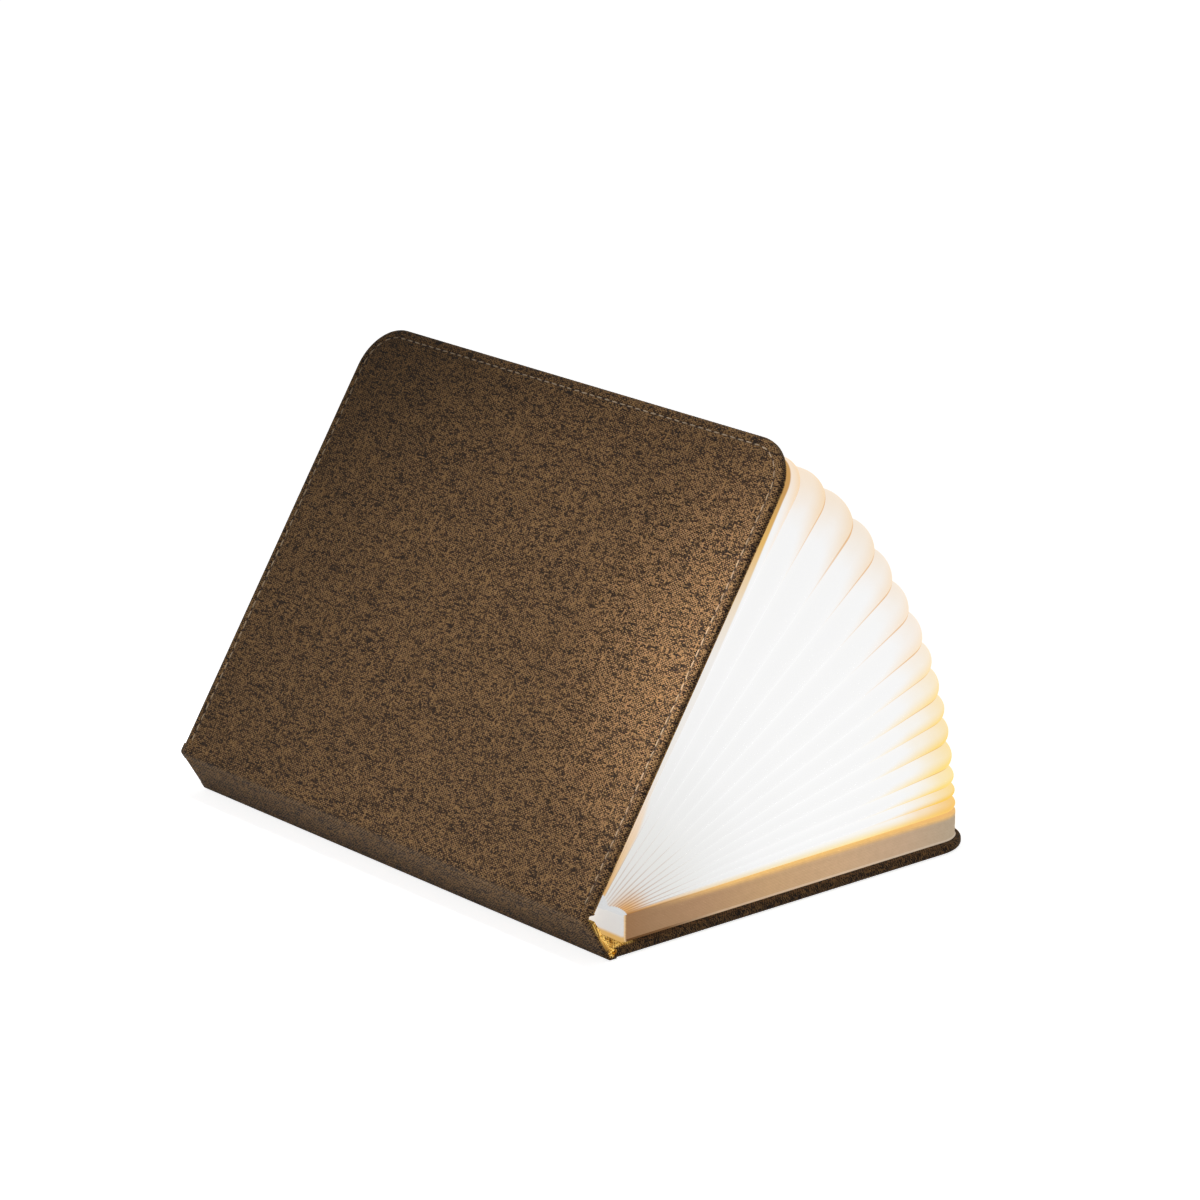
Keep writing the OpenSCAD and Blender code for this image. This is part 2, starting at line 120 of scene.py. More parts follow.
def gridObject(name, points, closedU=False, closedV=False, uv=None, marks=None, merge=False, outward=False):
    # the grid points[i, j] in millimetres becomes a mesh; on closed sides uv[i, j] may have one more row
    nu, nv = points.shape[:2]
    fi, fj = gridFaces(nu, nv, closedU, closedV)
    corners = (fi % nu) * nv + fj % nv
    flat = points.reshape(-1, 3) / 1000
    if outward:  # a closed surface's faces are turned so that its volume is positive
        a, b, c, d = (flat[corners[:, k]] for k in range(4))
        volume = sum(np.einsum("ij,ij->i", a, np.cross(*pair)).sum() for pair in ((b, c), (c, d)))
        if volume < 0:
            corners, fi, fj = corners[:, ::-1], fi[:, ::-1], fj[:, ::-1]
    mesh = quadMesh(name, flat, corners)
    if uv is not None:
        if uv.shape[0] == nu and closedU:
            uv = np.concatenate([uv, uv[:1]], 0)
        if uv.shape[1] == nv and closedV:
            uv = np.concatenate([uv, uv[:, :1]], 1)
        mesh.uv_layers.new(name="flat").data.foreach_set("uv", uv[fi, fj].reshape(-1, 2).ravel())
    for label, values in (marks or {}).items():
        values = np.broadcast_to(values, (nu, nv)).ravel()
        mesh.attributes.new(label, "FLOAT", "POINT").data.foreach_set("value", values)
    if merge:
        mergePoints(mesh, dropThin=True)
    return smoothObject(name, mesh)


def roundedStations(counts):
    # a rounded rectangle as weights for roundedPoints: even steps on the straight sides, sine and cosine of
    # even angles on the corners; it runs down the spine side, along the head, round the fore-edge and back
    # along the tail
    side, small, edge, arc, fore = counts

    def f(n):
        return np.arange(n) / n

    def row(n, a0=0, a1=0, c0=0, c1=0, b=0, d0=0, d1=0):
        return np.stack([np.broadcast_to(v, (n,)).astype(float) for v in (a0, a1, c0, c1, b, d0, d1)], 1)

    s, q, e, g, o = f(side), f(small) * math.pi / 2, f(edge), f(arc) * math.pi / 2, f(fore)
    parts = [
        row(side, a0=1, b=1 - 2 * s, d0=2 * s - 1),
        row(small, a0=1, c0=1 - np.cos(q), b=-1, d0=1 - np.sin(q)),
        row(edge, a0=1 - e, a1=e, c0=1 - e, c1=-e, b=-1),
        row(arc, a1=1, c1=np.sin(g) - 1, b=-1, d1=1 - np.cos(g)),
        row(fore, a1=1, b=2 * o - 1, d1=1 - 2 * o),
        row(arc, a1=1, c1=np.cos(g) - 1, b=1, d1=np.sin(g) - 1),
        row(edge, a1=1 - e, a0=e, c1=e - 1, c0=e, b=1),
        row(small, a0=1, c0=1 - np.sin(q), b=1, d0=np.cos(q) - 1),
    ]
    kinds = np.repeat(np.arange(8), counts[:1] + (small, edge, arc, fore, arc, edge, small))
    return np.concatenate(parts), kinds


def roundedPoints(stations, x0, x1, half, r0, r1):
    # x is the sum of the spine side x0, the fore-edge x1 and the radii r0 and r1, each times its weight at
    # the station, and y that of the half width and the radii; the result is [loop, station, (x, y)]
    given = np.broadcast_arrays(x0, x1, half, r0, r1)
    x0, x1, half, r0, r1 = (np.asarray(v, float).reshape(-1, 1) for v in given)
    a0, a1, c0, c1, b, d0, d1 = stations.T
    return np.stack([x0 * a0 + x1 * a1 + r0 * c0 + r1 * c1, half * b + r0 * d0 + r1 * d1], -1)


# nodes for the materials
def feed(tree, socket, value):
    if isinstance(value, bpy.types.NodeSocket):
        tree.links.new(value, socket)
    elif value is not None:
        socket.default_value = value


def calc(tree, operation, *values, clamp=False):
    node = tree.nodes.new("ShaderNodeMath")
    node.operation, node.use_clamp = operation, clamp
    for socket, value in zip(node.inputs, values):
        feed(tree, socket, value)
    return node.outputs[0]


def times(tree, first, second, clamp=False):
    return calc(tree, "MULTIPLY", first, second, clamp=clamp)


def plus(tree, first, second, clamp=False):
    return calc(tree, "ADD", first, second, clamp=clamp)


def minus(tree, first, second):
    return calc(tree, "SUBTRACT", first, second)


def scaled(tree, value, factor, offset, clamp=False):
    # value times factor, plus offset
    return calc(tree, "MULTIPLY_ADD", value, factor, offset, clamp=clamp)


def ramp(tree, value, low, high, outLow=0.0, outHigh=1.0, smooth=True):
    node = tree.nodes.new("ShaderNodeMapRange")
    node.interpolation_type = "SMOOTHSTEP" if smooth else "LINEAR"
    for socket, v in zip(node.inputs, (value, low, high, outLow, outHigh)):
        feed(tree, socket, v)
    return node.outputs[0]


def blendColor(tree, amount, first, second, kind="MIX"):
    node = tree.nodes.new("ShaderNodeMix")
    node.data_type, node.blend_type = "RGBA", kind
    feed(tree, node.inputs["Factor"], amount)
    for socket, value in zip([s for s in node.inputs if s.type == "RGBA"], (first, second)):
        feed(tree, socket, (*value, 1) if isinstance(value, tuple) and len(value) == 3 else value)
    return [s for s in node.outputs if s.type == "RGBA"][0]


def stops(tree, value, *pairs):
    # a colour that changes through several (place, colour) pairs
    node = tree.nodes.new("ShaderNodeValToRGB")
    points = node.color_ramp.elements
    while len(points) < len(pairs):
        points.new(0.5)
    for point, (at, color) in zip(points, pairs):
        point.position, point.color = at, (*color, 1)
    feed(tree, node.inputs[0], value)
    return node.outputs[0]


def numberStops(tree, value, pairs, largest):
    # a number that changes through several (place, number) pairs, none above largest
    tones = [(at, (number / largest,) * 3) for at, number in pairs]
    return times(tree, stops(tree, value, *tones), largest)


def mark(tree, name):
    # a value stored with the mesh's points
    node = tree.nodes.new("ShaderNodeAttribute")
    node.attribute_name = name
    return node.outputs["Fac"]


def noise(tree, vector, scale, detail=2.0, roughness=0.5):
    node = tree.nodes.new("ShaderNodeTexNoise")
    feed(tree, node.inputs["Vector"], vector)
    for key, value in (("Scale", scale), ("Detail", detail), ("Roughness", roughness)):
        feed(tree, node.inputs[key], value)
    return node.outputs["Fac"]


def vector(tree, x=0.0, y=0.0, z=0.0):
    node = tree.nodes.new("ShaderNodeCombineXYZ")
    for socket, value in zip(node.inputs, (x, y, z)):
        feed(tree, socket, value)
    return node.outputs[0]


def newGroup(name, inputs, outputs):
    tree = bpy.data.node_groups.new(name, "ShaderNodeTree")
    for label, kind, default in inputs:
        socket = tree.interface.new_socket(name=label, in_out="INPUT", socket_type=kind)
        if default is not None:
            socket.default_value = default
    for label, kind in outputs:
        tree.interface.new_socket(name=label, in_out="OUTPUT", socket_type=kind)
    return tree, tree.nodes.new("NodeGroupInput").outputs, tree.nodes.new("NodeGroupOutput").inputs


def useGroup(tree, group, **values):
    node = tree.nodes.new("ShaderNodeGroup")
    node.node_tree = group
    for key, value in values.items():
        feed(tree, node.inputs[key], value)
    return node.outputs


def srgb(r, g, b):
    # a colour as read off a picture, turned into Blender's linear values
    return tuple((v / 255 / 12.92) if v <= 10 else ((v / 255 + 0.055) / 1.055) ** 2.4 for v in (r, g, b))


def newMaterial(name, **plain):
    mat = bpy.data.materials.new(name)
    mat.use_nodes = True
    shader = mat.node_tree.nodes["Principled BSDF"]
    for key, value in plain.items():
        key = "".join(" " + c if c.isupper() else c for c in key).strip().title()
        shader.inputs[key].default_value = (*value, 1) if isinstance(value, tuple) else value
    return mat, mat.node_tree, shader


def addBump(tree, shader, height, distance, strength=1.0):
    node = tree.nodes.new("ShaderNodeBump")
    node.inputs["Strength"].default_value = strength
    node.inputs["Distance"].default_value = distance
    tree.links.new(height, node.inputs["Height"])
    tree.links.new(node.outputs[0], shader.inputs["Normal"])


# the covering cloth
linen = {
    "dark": srgb(12, 4, 1), "middle": srgb(45, 28, 12), "light": srgb(133, 101, 64),
    "across": 0.48,          # millimetres from one yarn to the next, counted along x
    "along": 0.64,           # and counted along y
    "slubLength": 5.0,       # millimetres over which a yarn keeps its tone
    "spread": 2.7,           # contrast between yarns
    "speckle": 1.1,          # contrast between single crossings
    "streak": 0.55,          # contrast of the long thin streaks along both directions
    "checker": 0.75,         # how much lighter the yarns along y are than those along x
    "wobble": 1.6,           # millimetres by which the yarns wander
    "bump": 0.00014,         # metres
    "roughness": 0.82, "specular": 0.15,
    "sheen": 0.04, "sheenTint": (0.9, 0.78, 0.62),
    # the cloth that the light bar reaches
    "glowStrength": 0.85,
    "glow": [(0.0, srgb(86, 44, 4)), (0.45, srgb(222, 146, 28)), (1.0, srgb(255, 216, 116))],
}


def makeWeave():
    # plain weave: a yarn is the ridge of a cosine across it, and rises and dips by a sine along it, one
    # half turn per crossing and the other way on the next yarn; the higher yarn shows, in its own tone,
    # which changes along it
    tree, given, out = newGroup(
        "linenWeave",
        [("Cloth", "NodeSocketVector", None),
         ("Across", "NodeSocketFloat", 0.5), ("Along", "NodeSocketFloat", 0.5),
         ("Slub", "NodeSocketFloat", 3.0), ("Spread", "NodeSocketFloat", 3.0)],
        [("Tone", "NodeSocketFloat"), ("Height", "NodeSocketFloat")])
    split = tree.nodes.new("ShaderNodeSeparateXYZ")
    tree.links.new(given["Cloth"], split.inputs[0])
    wobble = times(tree, minus(tree, noise(tree, given["Cloth"], 0.25, 3.0), 0.5), linen["wobble"])
    x = calc(tree, "DIVIDE", plus(tree, split.outputs[0], wobble), given["Across"])
    y = calc(tree, "DIVIDE", minus(tree, split.outputs[1], wobble), given["Along"])
    ix, iy = calc(tree, "FLOOR", x), calc(tree, "FLOOR", y)

    def yarn(across, along, number, pitch, shift):
        profile = calc(tree, "COSINE", times(tree, minus(tree, calc(tree, "FRACT", across), 0.5), math.pi))
        wave = calc(tree, "SINE", times(tree, plus(tree, along, number), math.pi))
        crimp = scaled(tree, wave, 0.5 if shift == 0 else -0.5, 0.5)
        spot = vector(tree, times(tree, number, 7.31), times(tree, along, 0.12), shift)
        thick = scaled(tree, noise(tree, spot, 1.0, 1.0), 0.9, 0.55)
        lift = times(tree, times(tree, profile, scaled(tree, crimp, 0.7, 0.3)), thick)
        length = calc(tree, "DIVIDE", pitch, given["Slub"])
        spot = vector(tree, times(tree, number, 3.77), times(tree, along, length), shift + 5.0)
        return lift, noise(tree, spot, 1.0, 3.0, 0.5)

    warpLift, warpTone = yarn(x, y, ix, given["Along"], 0.0)
    weftLift, weftTone = yarn(y, x, iy, given["Across"], 31.0)
    onTop = calc(tree, "GREATER_THAN", warpLift, weftLift)
    tone = plus(tree, times(tree, onTop, warpTone), times(tree, minus(tree, 1.0, onTop), weftTone))
    height = calc(tree, "MAXIMUM", warpLift, weftLift)
    shade = scaled(tree, height, 0.7, -0.42)                   # the gaps between yarns are darker
    shade = plus(tree, shade, times(tree, minus(tree, onTop, 0.5), linen["checker"]))
    spread = scaled(tree, minus(tree, tone, 0.5), given["Spread"], 0.5)
    crossing = tree.nodes.new("ShaderNodeTexWhiteNoise")
    tree.links.new(vector(tree, ix, iy), crossing.inputs["Vector"])
    speck = times(tree, minus(tree, crossing.outputs["Value"], 0.5), linen["speckle"])
    streakX = noise(tree, vector(tree, times(tree, x, 0.05), times(tree, y, 0.7), 3.0), 1.0, 3.0, 0.6)
    streakY = noise(tree, vector(tree, times(tree, x, 0.7), times(tree, y, 0.05), 9.0), 1.0, 3.0, 0.6)
    streaks = times(tree, minus(tree, plus(tree, streakX, streakY), 1.0), linen["streak"])
    tone = plus(tree, plus(tree, plus(tree, spread, speck), shade), streaks, clamp=True)
    tree.links.new(tone, out["Tone"])
    tree.links.new(height, out["Height"])
    return tree


weaveGroup = makeWeave()


def linenMaterial(name):
    mat, tree, shader = newMaterial(name, roughness=linen["roughness"], sheenWeight=linen["sheen"],
                                    sheenRoughness=0.5, sheenTint=linen["sheenTint"])
    shader.inputs["Specular IOR Level"].default_value = linen["specular"]
    uvMap = tree.nodes.new("ShaderNodeUVMap")
    uvMap.uv_map = "flat"
    weave = useGroup(tree, weaveGroup, Cloth=uvMap.outputs[0], Across=linen["across"], Along=linen["along"],
                     Slub=linen["slubLength"], Spread=linen["spread"])
    color = stops(tree, weave["Tone"], (0.0, linen["dark"]), (0.5, linen["middle"]), (1.0, linen["light"]))
    tree.links.new(color, shader.inputs["Base Color"])
    warm = stops(tree, weave["Tone"], *linen["glow"])
    lit = blendColor(tree, mark(tree, "glow"), (0.0, 0.0, 0.0), warm)
    tree.links.new(lit, shader.inputs["Emission Color"])
    shader.inputs["Emission Strength"].default_value = linen["glowStrength"]
    addBump(tree, shader, weave["Height"], linen["bump"], 0.8)
    return mat


coverLinen = linenMaterial("coverLinen")

stitch = {
    "inset": 3.2,         # distance of the sewn line from the cover's edge
    "pitch": 3.82, "length": 2.8, "width": 0.44, "height": 0.38, "arch": 0.10,
    "lift": 0.12,         # how far a stitch stands off the bottom of its groove
    "uneven": 0.05,       # spread of the stitches' headings in radians, and of their lengths
    "hole": 0.36,
    "threadDark": srgb(104, 80, 54), "threadLight": srgb(190, 164, 130),
    # painted shade in the needle holes
    "holeDark": srgb(14, 8, 3), "holeLight": srgb(46, 28, 14),
}
cover = {
    "groove": 0.30,       # depth of the stitched groove
    "edgeRound": 1.25,    # radius of the outer edge
    "insideRound": 1.0,
    "puff": 0.07,         # how far the border outside the stitching stands up
    "recess": 0.58,       # depth of the lining inside the turned-in cloth
    "middle": 79.8,       # distance in from the edge at which a face closes to a line
    # stations on the hinge side, round its corners, along the head, round the far corners and on the
    # fore-edge
    "counts": (60, 2, 90, 22, 110),
}


def coverProfile():
    # one row per loop round the cover: distance in from the edge, depth from the outer face, groove share
    # and distance in along the cloth itself, which gives the weave its place
    e, n, last, recess = (cover[k] for k in ("edgeRound", "insideRound", "middle", "recess"))
    rows = [(d, 0.0, 0.0) for d in (last, 66, 52, 40, 30, 22, 16, 11, 7.5, 5.6)]
    grooveShape = [(1.5, 0.0), (0.85, 0.12), (0.5, 0.45), (0.25, 0.85), (0.0, 1.0), (-0.25, 0.85), (-0.5, 0.45),
                   (-0.8, 0.12)]
    rows += [(stitch["inset"] + d, 0.0, g) for d, g in grooveShape]
    rows += [(1.9, -cover["puff"], 0.0), (1.5, -0.6 * cover["puff"], 0.0)]
    rows += [(e - e * math.sin(a), e - e * math.cos(a), 0.0) for a in np.radians([8, 24, 40, 56, 72, 86])]
    rows += [(0.0, 1.45, 0.0), (0.0, 1.85, 0.0)]
    t = book["thickness"]
    rows += [(n - n * math.cos(a), t - n + n * math.sin(a), 0.0) for a in np.radians([18, 36, 54, 72, 90])]
    rows += [(2.2, t, 0.0), (4.0, t, 0.0), (7.0, t, 0.0), (10.5, t, 0.0), (book["turnIn"] - 0.05, t, 0.0)]
    lining = ((book["turnIn"], 0.1), (book["turnIn"], recess), (30.0, recess), (last, recess))
    rows += [(d, t - depth, 0.0) for d, depth in lining]
    d, z, g = np.array(rows).T
    step = np.hypot(np.diff(d), np.diff(z))
    along = np.concatenate([[0], np.cumsum(step)])
    return d, z, g, last - along


def makeCover(name, panel, flip, uvShift):
    # each loop of the profile is the panel's outline drawn in by its distance: the width, the half length
    # and the corners' radius are all less by it; its depth is counted from the outer face, and the loops
    # close to a line at the middle of each face
    d, z, g, clothIn = coverProfile()
    stations, kinds = roundedStations(cover["counts"])
    w, gap, half = book["coverWidth"], book["hingeGap"], book["halfLength"]
    last = d[-1]

    def toHinge(v):
        # the hinge side has no border, so the loops draw in later there
        return np.where(v > 5.0, (v - 5.0) / (last - 5.0) * (last - 0.2) + 0.2, 0.04 * v)

    hingeIn = toHinge(d)
    inside = np.arange(len(d)) >= len(d) - 9                  # rows of the turned-in border and the recess
    hingeIn = np.where(inside & (d <= book["turnIn"]), np.minimum(d * 0.05, 0.5), hingeIn)
    radius = np.maximum(book["cornerRadius"] - d, 0.0)
    radius = np.where(inside & (d > 8), 2.0 * (d < 40), radius)
    xy = roundedPoints(stations, gap + hingeIn, w - d, half - d, 0.0, radius)
    notHinge = np.where(kinds == 0, 0.0, 1.0)
    depth = z[:, None] + cover["groove"] * g[:, None] * notHinge
    low = np.minimum(z, 0.0)[:, None] * (1 - notHinge)
    depth = depth - low                                        # no puffed border beside the hinge
    h = (depth - 1.5) if not flip else (1.5 - depth)
    points = place(np.concatenate([xy, h[..., None]], -1), panel)
    uvRadius = np.maximum(book["cornerRadius"] - clothIn, 0.0)
    uv = roundedPoints(stations, gap + toHinge(clothIn), w - clothIn, half - clothIn, 0.0, uvRadius)
    uv = uv + np.array(uvShift)
    rim = np.where((z > 2.0) & (z < 2.9) & (d < 1.2), 0.35 if flip else 0.0, 0.0)
    glow = np.maximum(np.clip(1.4 - xy[..., 0] / 9.0, 0, 1) * inside[:, None], rim[:, None])
    obj = gridObject(name, points, closedV=True, uv=uv, merge=True, outward=True, marks={"glow": glow})
    obj.data.materials.append(coverLinen)
    return obj


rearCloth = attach(makeCover("rearCoverCloth", rearFrame, False, (400.0, 300.0)), "rear_cover")
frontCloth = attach(makeCover("frontCoverCloth", frontFrame, True, (0.0, 0.0)), "front_cover")
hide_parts("rear_cloth")
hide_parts("front_cloth")
print("covers made")

spine = {"edgeRound": 0.7, "recess": 0.53, "border": 0.5}


def makeSpine():
    # a rounded strip: a rectangular section carried along y and thinned at both ends by a quarter circle,
    # with the lining's shallow recess sunk into its inner face
    t, half = book["thickness"] / 2, book["halfLength"]
    z0, z1, r = book["hingeGap"], hingePitch - book["hingeGap"], spine["edgeRound"]
    ends = np.array([1.0, 0.62, 0.29, 0.08, 0.0]) * r
    yIn = np.array([0.0, 0.08, 0.29, 0.62, 1.0]) * r
    mid = np.array([-0.02, 0.0]) + book["turnIn"] - half
    body = np.concatenate([mid, np.linspace(mid[1] + 2, -mid[1] - 2, 40), -mid[::-1]])
    y = np.concatenate([-half + yIn, [-half + 6.0], body, [half - 6.0], half - yIn[::-1]])
    shrink = np.concatenate([ends, np.zeros(len(body) + 2), ends[::-1]])
    deep = ((y > mid[1] - 0.001) & (y < -mid[1] + 0.001)).astype(float)
    # section stations: outer face, front side, inner face with its recess, rear side
    low, high = z0 + spine["border"], z1 - spine["border"]
    zs = np.concatenate([np.linspace(z0, z1, 13), [z1, high, high], np.linspace(high - 0.01, low + 0.01, 9),
                         [low, low, z0]])
    side = np.concatenate([-np.ones(13), np.ones(15)])
    sunk = np.concatenate([np.zeros(15), np.ones(11), np.zeros(2)])
    x = side[None] * (t - shrink[:, None]) - sunk[None] * deep[:, None] * spine["recess"]
    z = np.broadcast_to(zs, x.shape)
    yy = np.broadcast_to(y[:, None], x.shape)
    points = np.stack([x, yy, z], -1)
    cap = points[[0, -1]].mean(1, keepdims=True) + 0 * points[[0, -1]]
    points = np.concatenate([cap[:1], points, cap[1:]])
    girth = np.concatenate([[0], np.cumsum(np.hypot(np.diff(zs), np.diff(side) * t))])
    uv = np.stack(np.broadcast_arrays(-20.0 - girth[None], points[:, :1, 1] + 0 * points[..., 1]), -1)
    uv = np.concatenate([uv, uv[:, -1:] - np.array([3.0, 0.0])], 1)
    obj = gridObject("spineCoverCloth", place(points, spineFrame), closedV=True, uv=uv, merge=True,
                     outward=True, marks={"glow": (side > 0)[None] * 1.0})
    obj.data.materials.append(coverLinen)
    return obj


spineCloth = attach(makeSpine(), "spine")
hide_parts("spine_cloth")

# "inside" is how far the strip's inner face lies off the panel's middle, towards its end, and "turnOver"
# half the distance over which it passes from one panel to the other
hingeStrip = {"thickness": 1.25, "inside": [0.45, -0.2, -1.15, -1.45], "rows": 60, "bend": 9, "turnOver": 1.37}


def makeHinge(name, axis, turn, opened, uvShift, glow):
    # a strip whose section leaves one panel's outer face, goes round the hinge axis by the radius times the
    # sine and the cosine of 0 to 90 degrees less the opening, and runs on to the next panel's outer face
    gap, bend, a = book["hingeGap"] + 0.02, hingeStrip["bend"], math.radians(opened)

    def path(r, ends):
        arc = np.radians(np.linspace(0, 90 - opened, bend + 1)[1:])
        run, off = np.linspace(0, gap, 6), np.concatenate([np.full(2, r), ends])
        x = np.concatenate([run[::-1], -r * np.sin(arc), -off[1:] * math.cos(a) - run[1:] * math.sin(a)])
        h = np.concatenate([-off[::-1], -r * np.cos(arc), -off[1:] * math.sin(a) + run[1:] * math.cos(a)])
        return np.stack([x, 0 * x, -h if turn else h], -1)     # the front hinge is mirrored

    t = book["thickness"] / 2
    outer, inner = path(t, [t] * 4), path(t - hingeStrip["thickness"], hingeStrip["inside"])
    middle = (outer + inner) / 2
    section = np.concatenate([outer, inner[::-1]])
    half = book["halfLength"] - 0.1
    y = np.linspace(-half, half, hingeStrip["rows"])
    rows = np.broadcast_to(section[None], (len(y), *section.shape)).copy()
    rows[..., 1] = y[:, None]
    ends = np.broadcast_to(np.concatenate([middle, middle[::-1]])[None], (2, *section.shape)).copy()
    ends[..., 1] = np.array([[-half], [half]])
    points = np.concatenate([ends[:1], rows, ends[1:]])
    step = np.linalg.norm(np.diff(outer, axis=0), axis=1)
    girth = np.concatenate([[0], np.cumsum(step)])
    girth = np.concatenate([girth, girth[::-1] + 11.0])        # the inner face has its own stretch of weave
    uv = np.stack(np.broadcast_arrays(uvShift - girth[None], points[..., 1]), -1)
    uv = np.concatenate([uv, uv[:, -1:] + np.array([0.4, 0.0])], 1)
    inside = np.repeat([0.0, glow], len(outer))[None] * np.clip(np.arange(len(points)), 0, 1)[:, None]
    inside[-1] = 0
    obj = gridObject(name, place(points, (axis, turn)), closedV=True, uv=uv, merge=True, outward=True,
                     marks={"glow": inside})
    obj.data.materials.append(coverLinen)
    ends = place(np.stack([(outer[0] + inner[0]) / 2, (outer[-1] + inner[-1]) / 2]), (axis, turn))
    reachOver = hingeStrip["turnOver"] * (ends[1] - ends[0]) / np.linalg.norm(ends[1] - ends[0])
    return obj, tuple((axis - reachOver) / 1000), tuple((axis + reachOver) / 1000)


rearHinge, fromPoint, toPoint = makeHinge("rearHingeCloth", *rearFrame, rearOpen, book["hingeGap"], 1.0)
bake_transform(rearHinge)
frontHinge, fromPoint, toPoint = makeHinge("frontHingeCloth", *frontFrame, frontOpen, book["hingeGap"], 0.25)
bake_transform(frontHinge)
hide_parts("rear_hinge_cloth")
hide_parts("front_hinge_cloth")
print("spine and cloth hinges made")


def stitchPath():
    # places and headings of the stitches, evenly spaced along the head, down the fore-edge and back along
    # the tail, with the corners by the radius times the sine and cosine of the run along them
    r, gap = book["cornerRadius"] - stitch["inset"], book["hingeGap"]
    sx, sy = book["coverWidth"] - book["cornerRadius"], book["halfLength"] - book["cornerRadius"]
    headRun, arcRun = sx - gap - 1, r * math.pi / 2
    total = 2 * headRun + 2 * arcRun + 2 * sy
    count = int(total // stitch["pitch"])
    s = (np.arange(count) + 0.5) * total / count
    m = np.minimum(s, total - s)                               # the second half mirrors the first
    a = np.clip((m - headRun) / r, 0, math.pi / 2)
    x = np.where(m < headRun, gap + 1 + m, sx + r * np.sin(a))
    corner = -sy - r * np.cos(a) + np.maximum(m - headRun - arcRun, 0)
    y = np.where(m < headRun, stitch["inset"] - book["halfLength"], corner)
    mirrored = s > total / 2
    return x, np.where(mirrored, -y, y), np.where(mirrored, -a, a), total / count


def makeStitches(name, panel, flip):
    # each stitch is a bent spindle between two needle holes: with u from -1 to 1 along it, its section is
    # an oval that narrows by the root of 1 less u to the power 3.2, and it arches up by 1 less u squared
    x, y, heading, _ = stitchPath()
    n = len(x)
    heading = heading + seed.normal(0, stitch["uneven"], n)
    size = 1 + seed.normal(0, stitch["uneven"], n)
    u = np.linspace(-1, 1, 8)
    v = np.arange(6) / 6 * 2 * math.pi
    width = np.sqrt(np.clip(1 - np.abs(u) ** 3.2, 0, 1))
    across = 0.5 * stitch["width"] * width[:, None] * np.cos(v)
    up = 0.5 * stitch["height"] * width[:, None] * np.sin(v) + stitch["arch"] * (1 - u[:, None] ** 2)
    along = 0.5 * stitch["length"] * u[:, None] + 0 * v
    lx = along[None] * size[:, None, None]
    px = x[:, None, None] + lx * np.cos(heading)[:, None, None] - across[None] * np.sin(heading)[:, None, None]
    py = y[:, None, None] + lx * np.sin(heading)[:, None, None] + across[None] * np.cos(heading)[:, None, None]
    depth = cover["groove"] - stitch["lift"] - up[None] + 0 * px
    h = (depth - 1.5) if not flip else (1.5 - depth)
    points = place(np.stack([px, py, h], -1), panel)
    fi, fj = gridFaces(len(u), len(v), False, True)
    corners = fi * len(v) + fj % len(v)
    if flip:
        corners = corners[:, ::-1]
    corners = (corners[None] + np.arange(n)[:, None, None] * len(u) * len(v)).reshape(-1, 4)
    mesh = quadMesh(name, points.reshape(-1, 3) / 1000, corners)
    alongThread = np.arange(n)[:, None, None] * 3.0 + u[None, :, None]
    uv = np.stack(np.broadcast_arrays(alongThread, v[None, None] / 6.3 + 0 * px), -1).reshape(-1, 2)
    mesh.uv_layers.new(name="flat").data.foreach_set("uv", uv[corners.ravel()].ravel())
    mergePoints(mesh)
    return smoothObject(name, mesh)


def makeHoles(name, panel, flip):
    # a dark eight-sided dish at each end of every stitch, painted shade in the needle hole: three ovals by
    # cosine and sine, laid on the groove's section
    x, y, heading, step = stitchPath()
    x, y = x + 0.5 * step * np.cos(heading), y + 0.5 * step * np.sin(heading)
    a = np.arange(8) / 8 * 2 * math.pi
    rings = np.array([1.0, 0.55, 0.0])[:, None]
    along, across = stitch["hole"] * 1.6 * rings * np.cos(a), stitch["hole"] * 1.1 * rings * np.sin(a)
    c, s = np.cos(heading)[:, None, None], np.sin(heading)[:, None, None]
    px, py = x[:, None, None] + along * c - across * s, y[:, None, None] + along * s + across * c
    share = np.interp(np.abs(across), [0, 0.25, 0.5, 0.85], [1.0, 0.85, 0.45, 0.12])
    depth = cover["groove"] * share - 0.03 + 0 * px
    h = (depth - 1.5) if not flip else (1.5 - depth)
    points = place(np.stack([px, py, h], -1), panel).reshape(len(x) * 3, 8, 3)
    obj = gridObject(name, points, closedV=True)
    bm = bmesh.new()                                           # the strips between one dish and the next go
    bm.from_mesh(obj.data)
    far = [f for f in bm.faces if max((v.co - f.verts[0].co).length for v in f.verts) > 0.0014]
    bmesh.ops.delete(bm, geom=far, context="FACES")
    bmesh.ops.remove_doubles(bm, verts=bm.verts, dist=2e-6)
    if flip:
        bmesh.ops.reverse_faces(bm, faces=bm.faces)
    bm.to_mesh(obj.data)
    bm.free()
    return obj


def makeThread():
    # twisted thread: diagonal plies from the stitch's own map
    mat, tree, shader = newMaterial("sewingThread", roughness=0.6, sheenWeight=0.15)
    uvMap = tree.nodes.new("ShaderNodeUVMap")
    uvMap.uv_map = "flat"
    split = tree.nodes.new("ShaderNodeSeparateXYZ")
    tree.links.new(uvMap.outputs[0], split.inputs[0])
    turn = plus(tree, times(tree, split.outputs[0], 3.0), split.outputs[1])
    turn = times(tree, turn, 2 * math.pi)
    ply = scaled(tree, calc(tree, "SINE", turn), 0.5, 0.5)
    fleck = noise(tree, vector(tree, split.outputs[0], split.outputs[1]), 1.7, 2.0)
    tone = scaled(tree, ply, 0.45, times(tree, fleck, 0.6), clamp=True)
    color = blendColor(tree, tone, stitch["threadDark"], stitch["threadLight"])
    tree.links.new(color, shader.inputs["Base Color"])
    addBump(tree, shader, ply, 0.00008)
    return mat


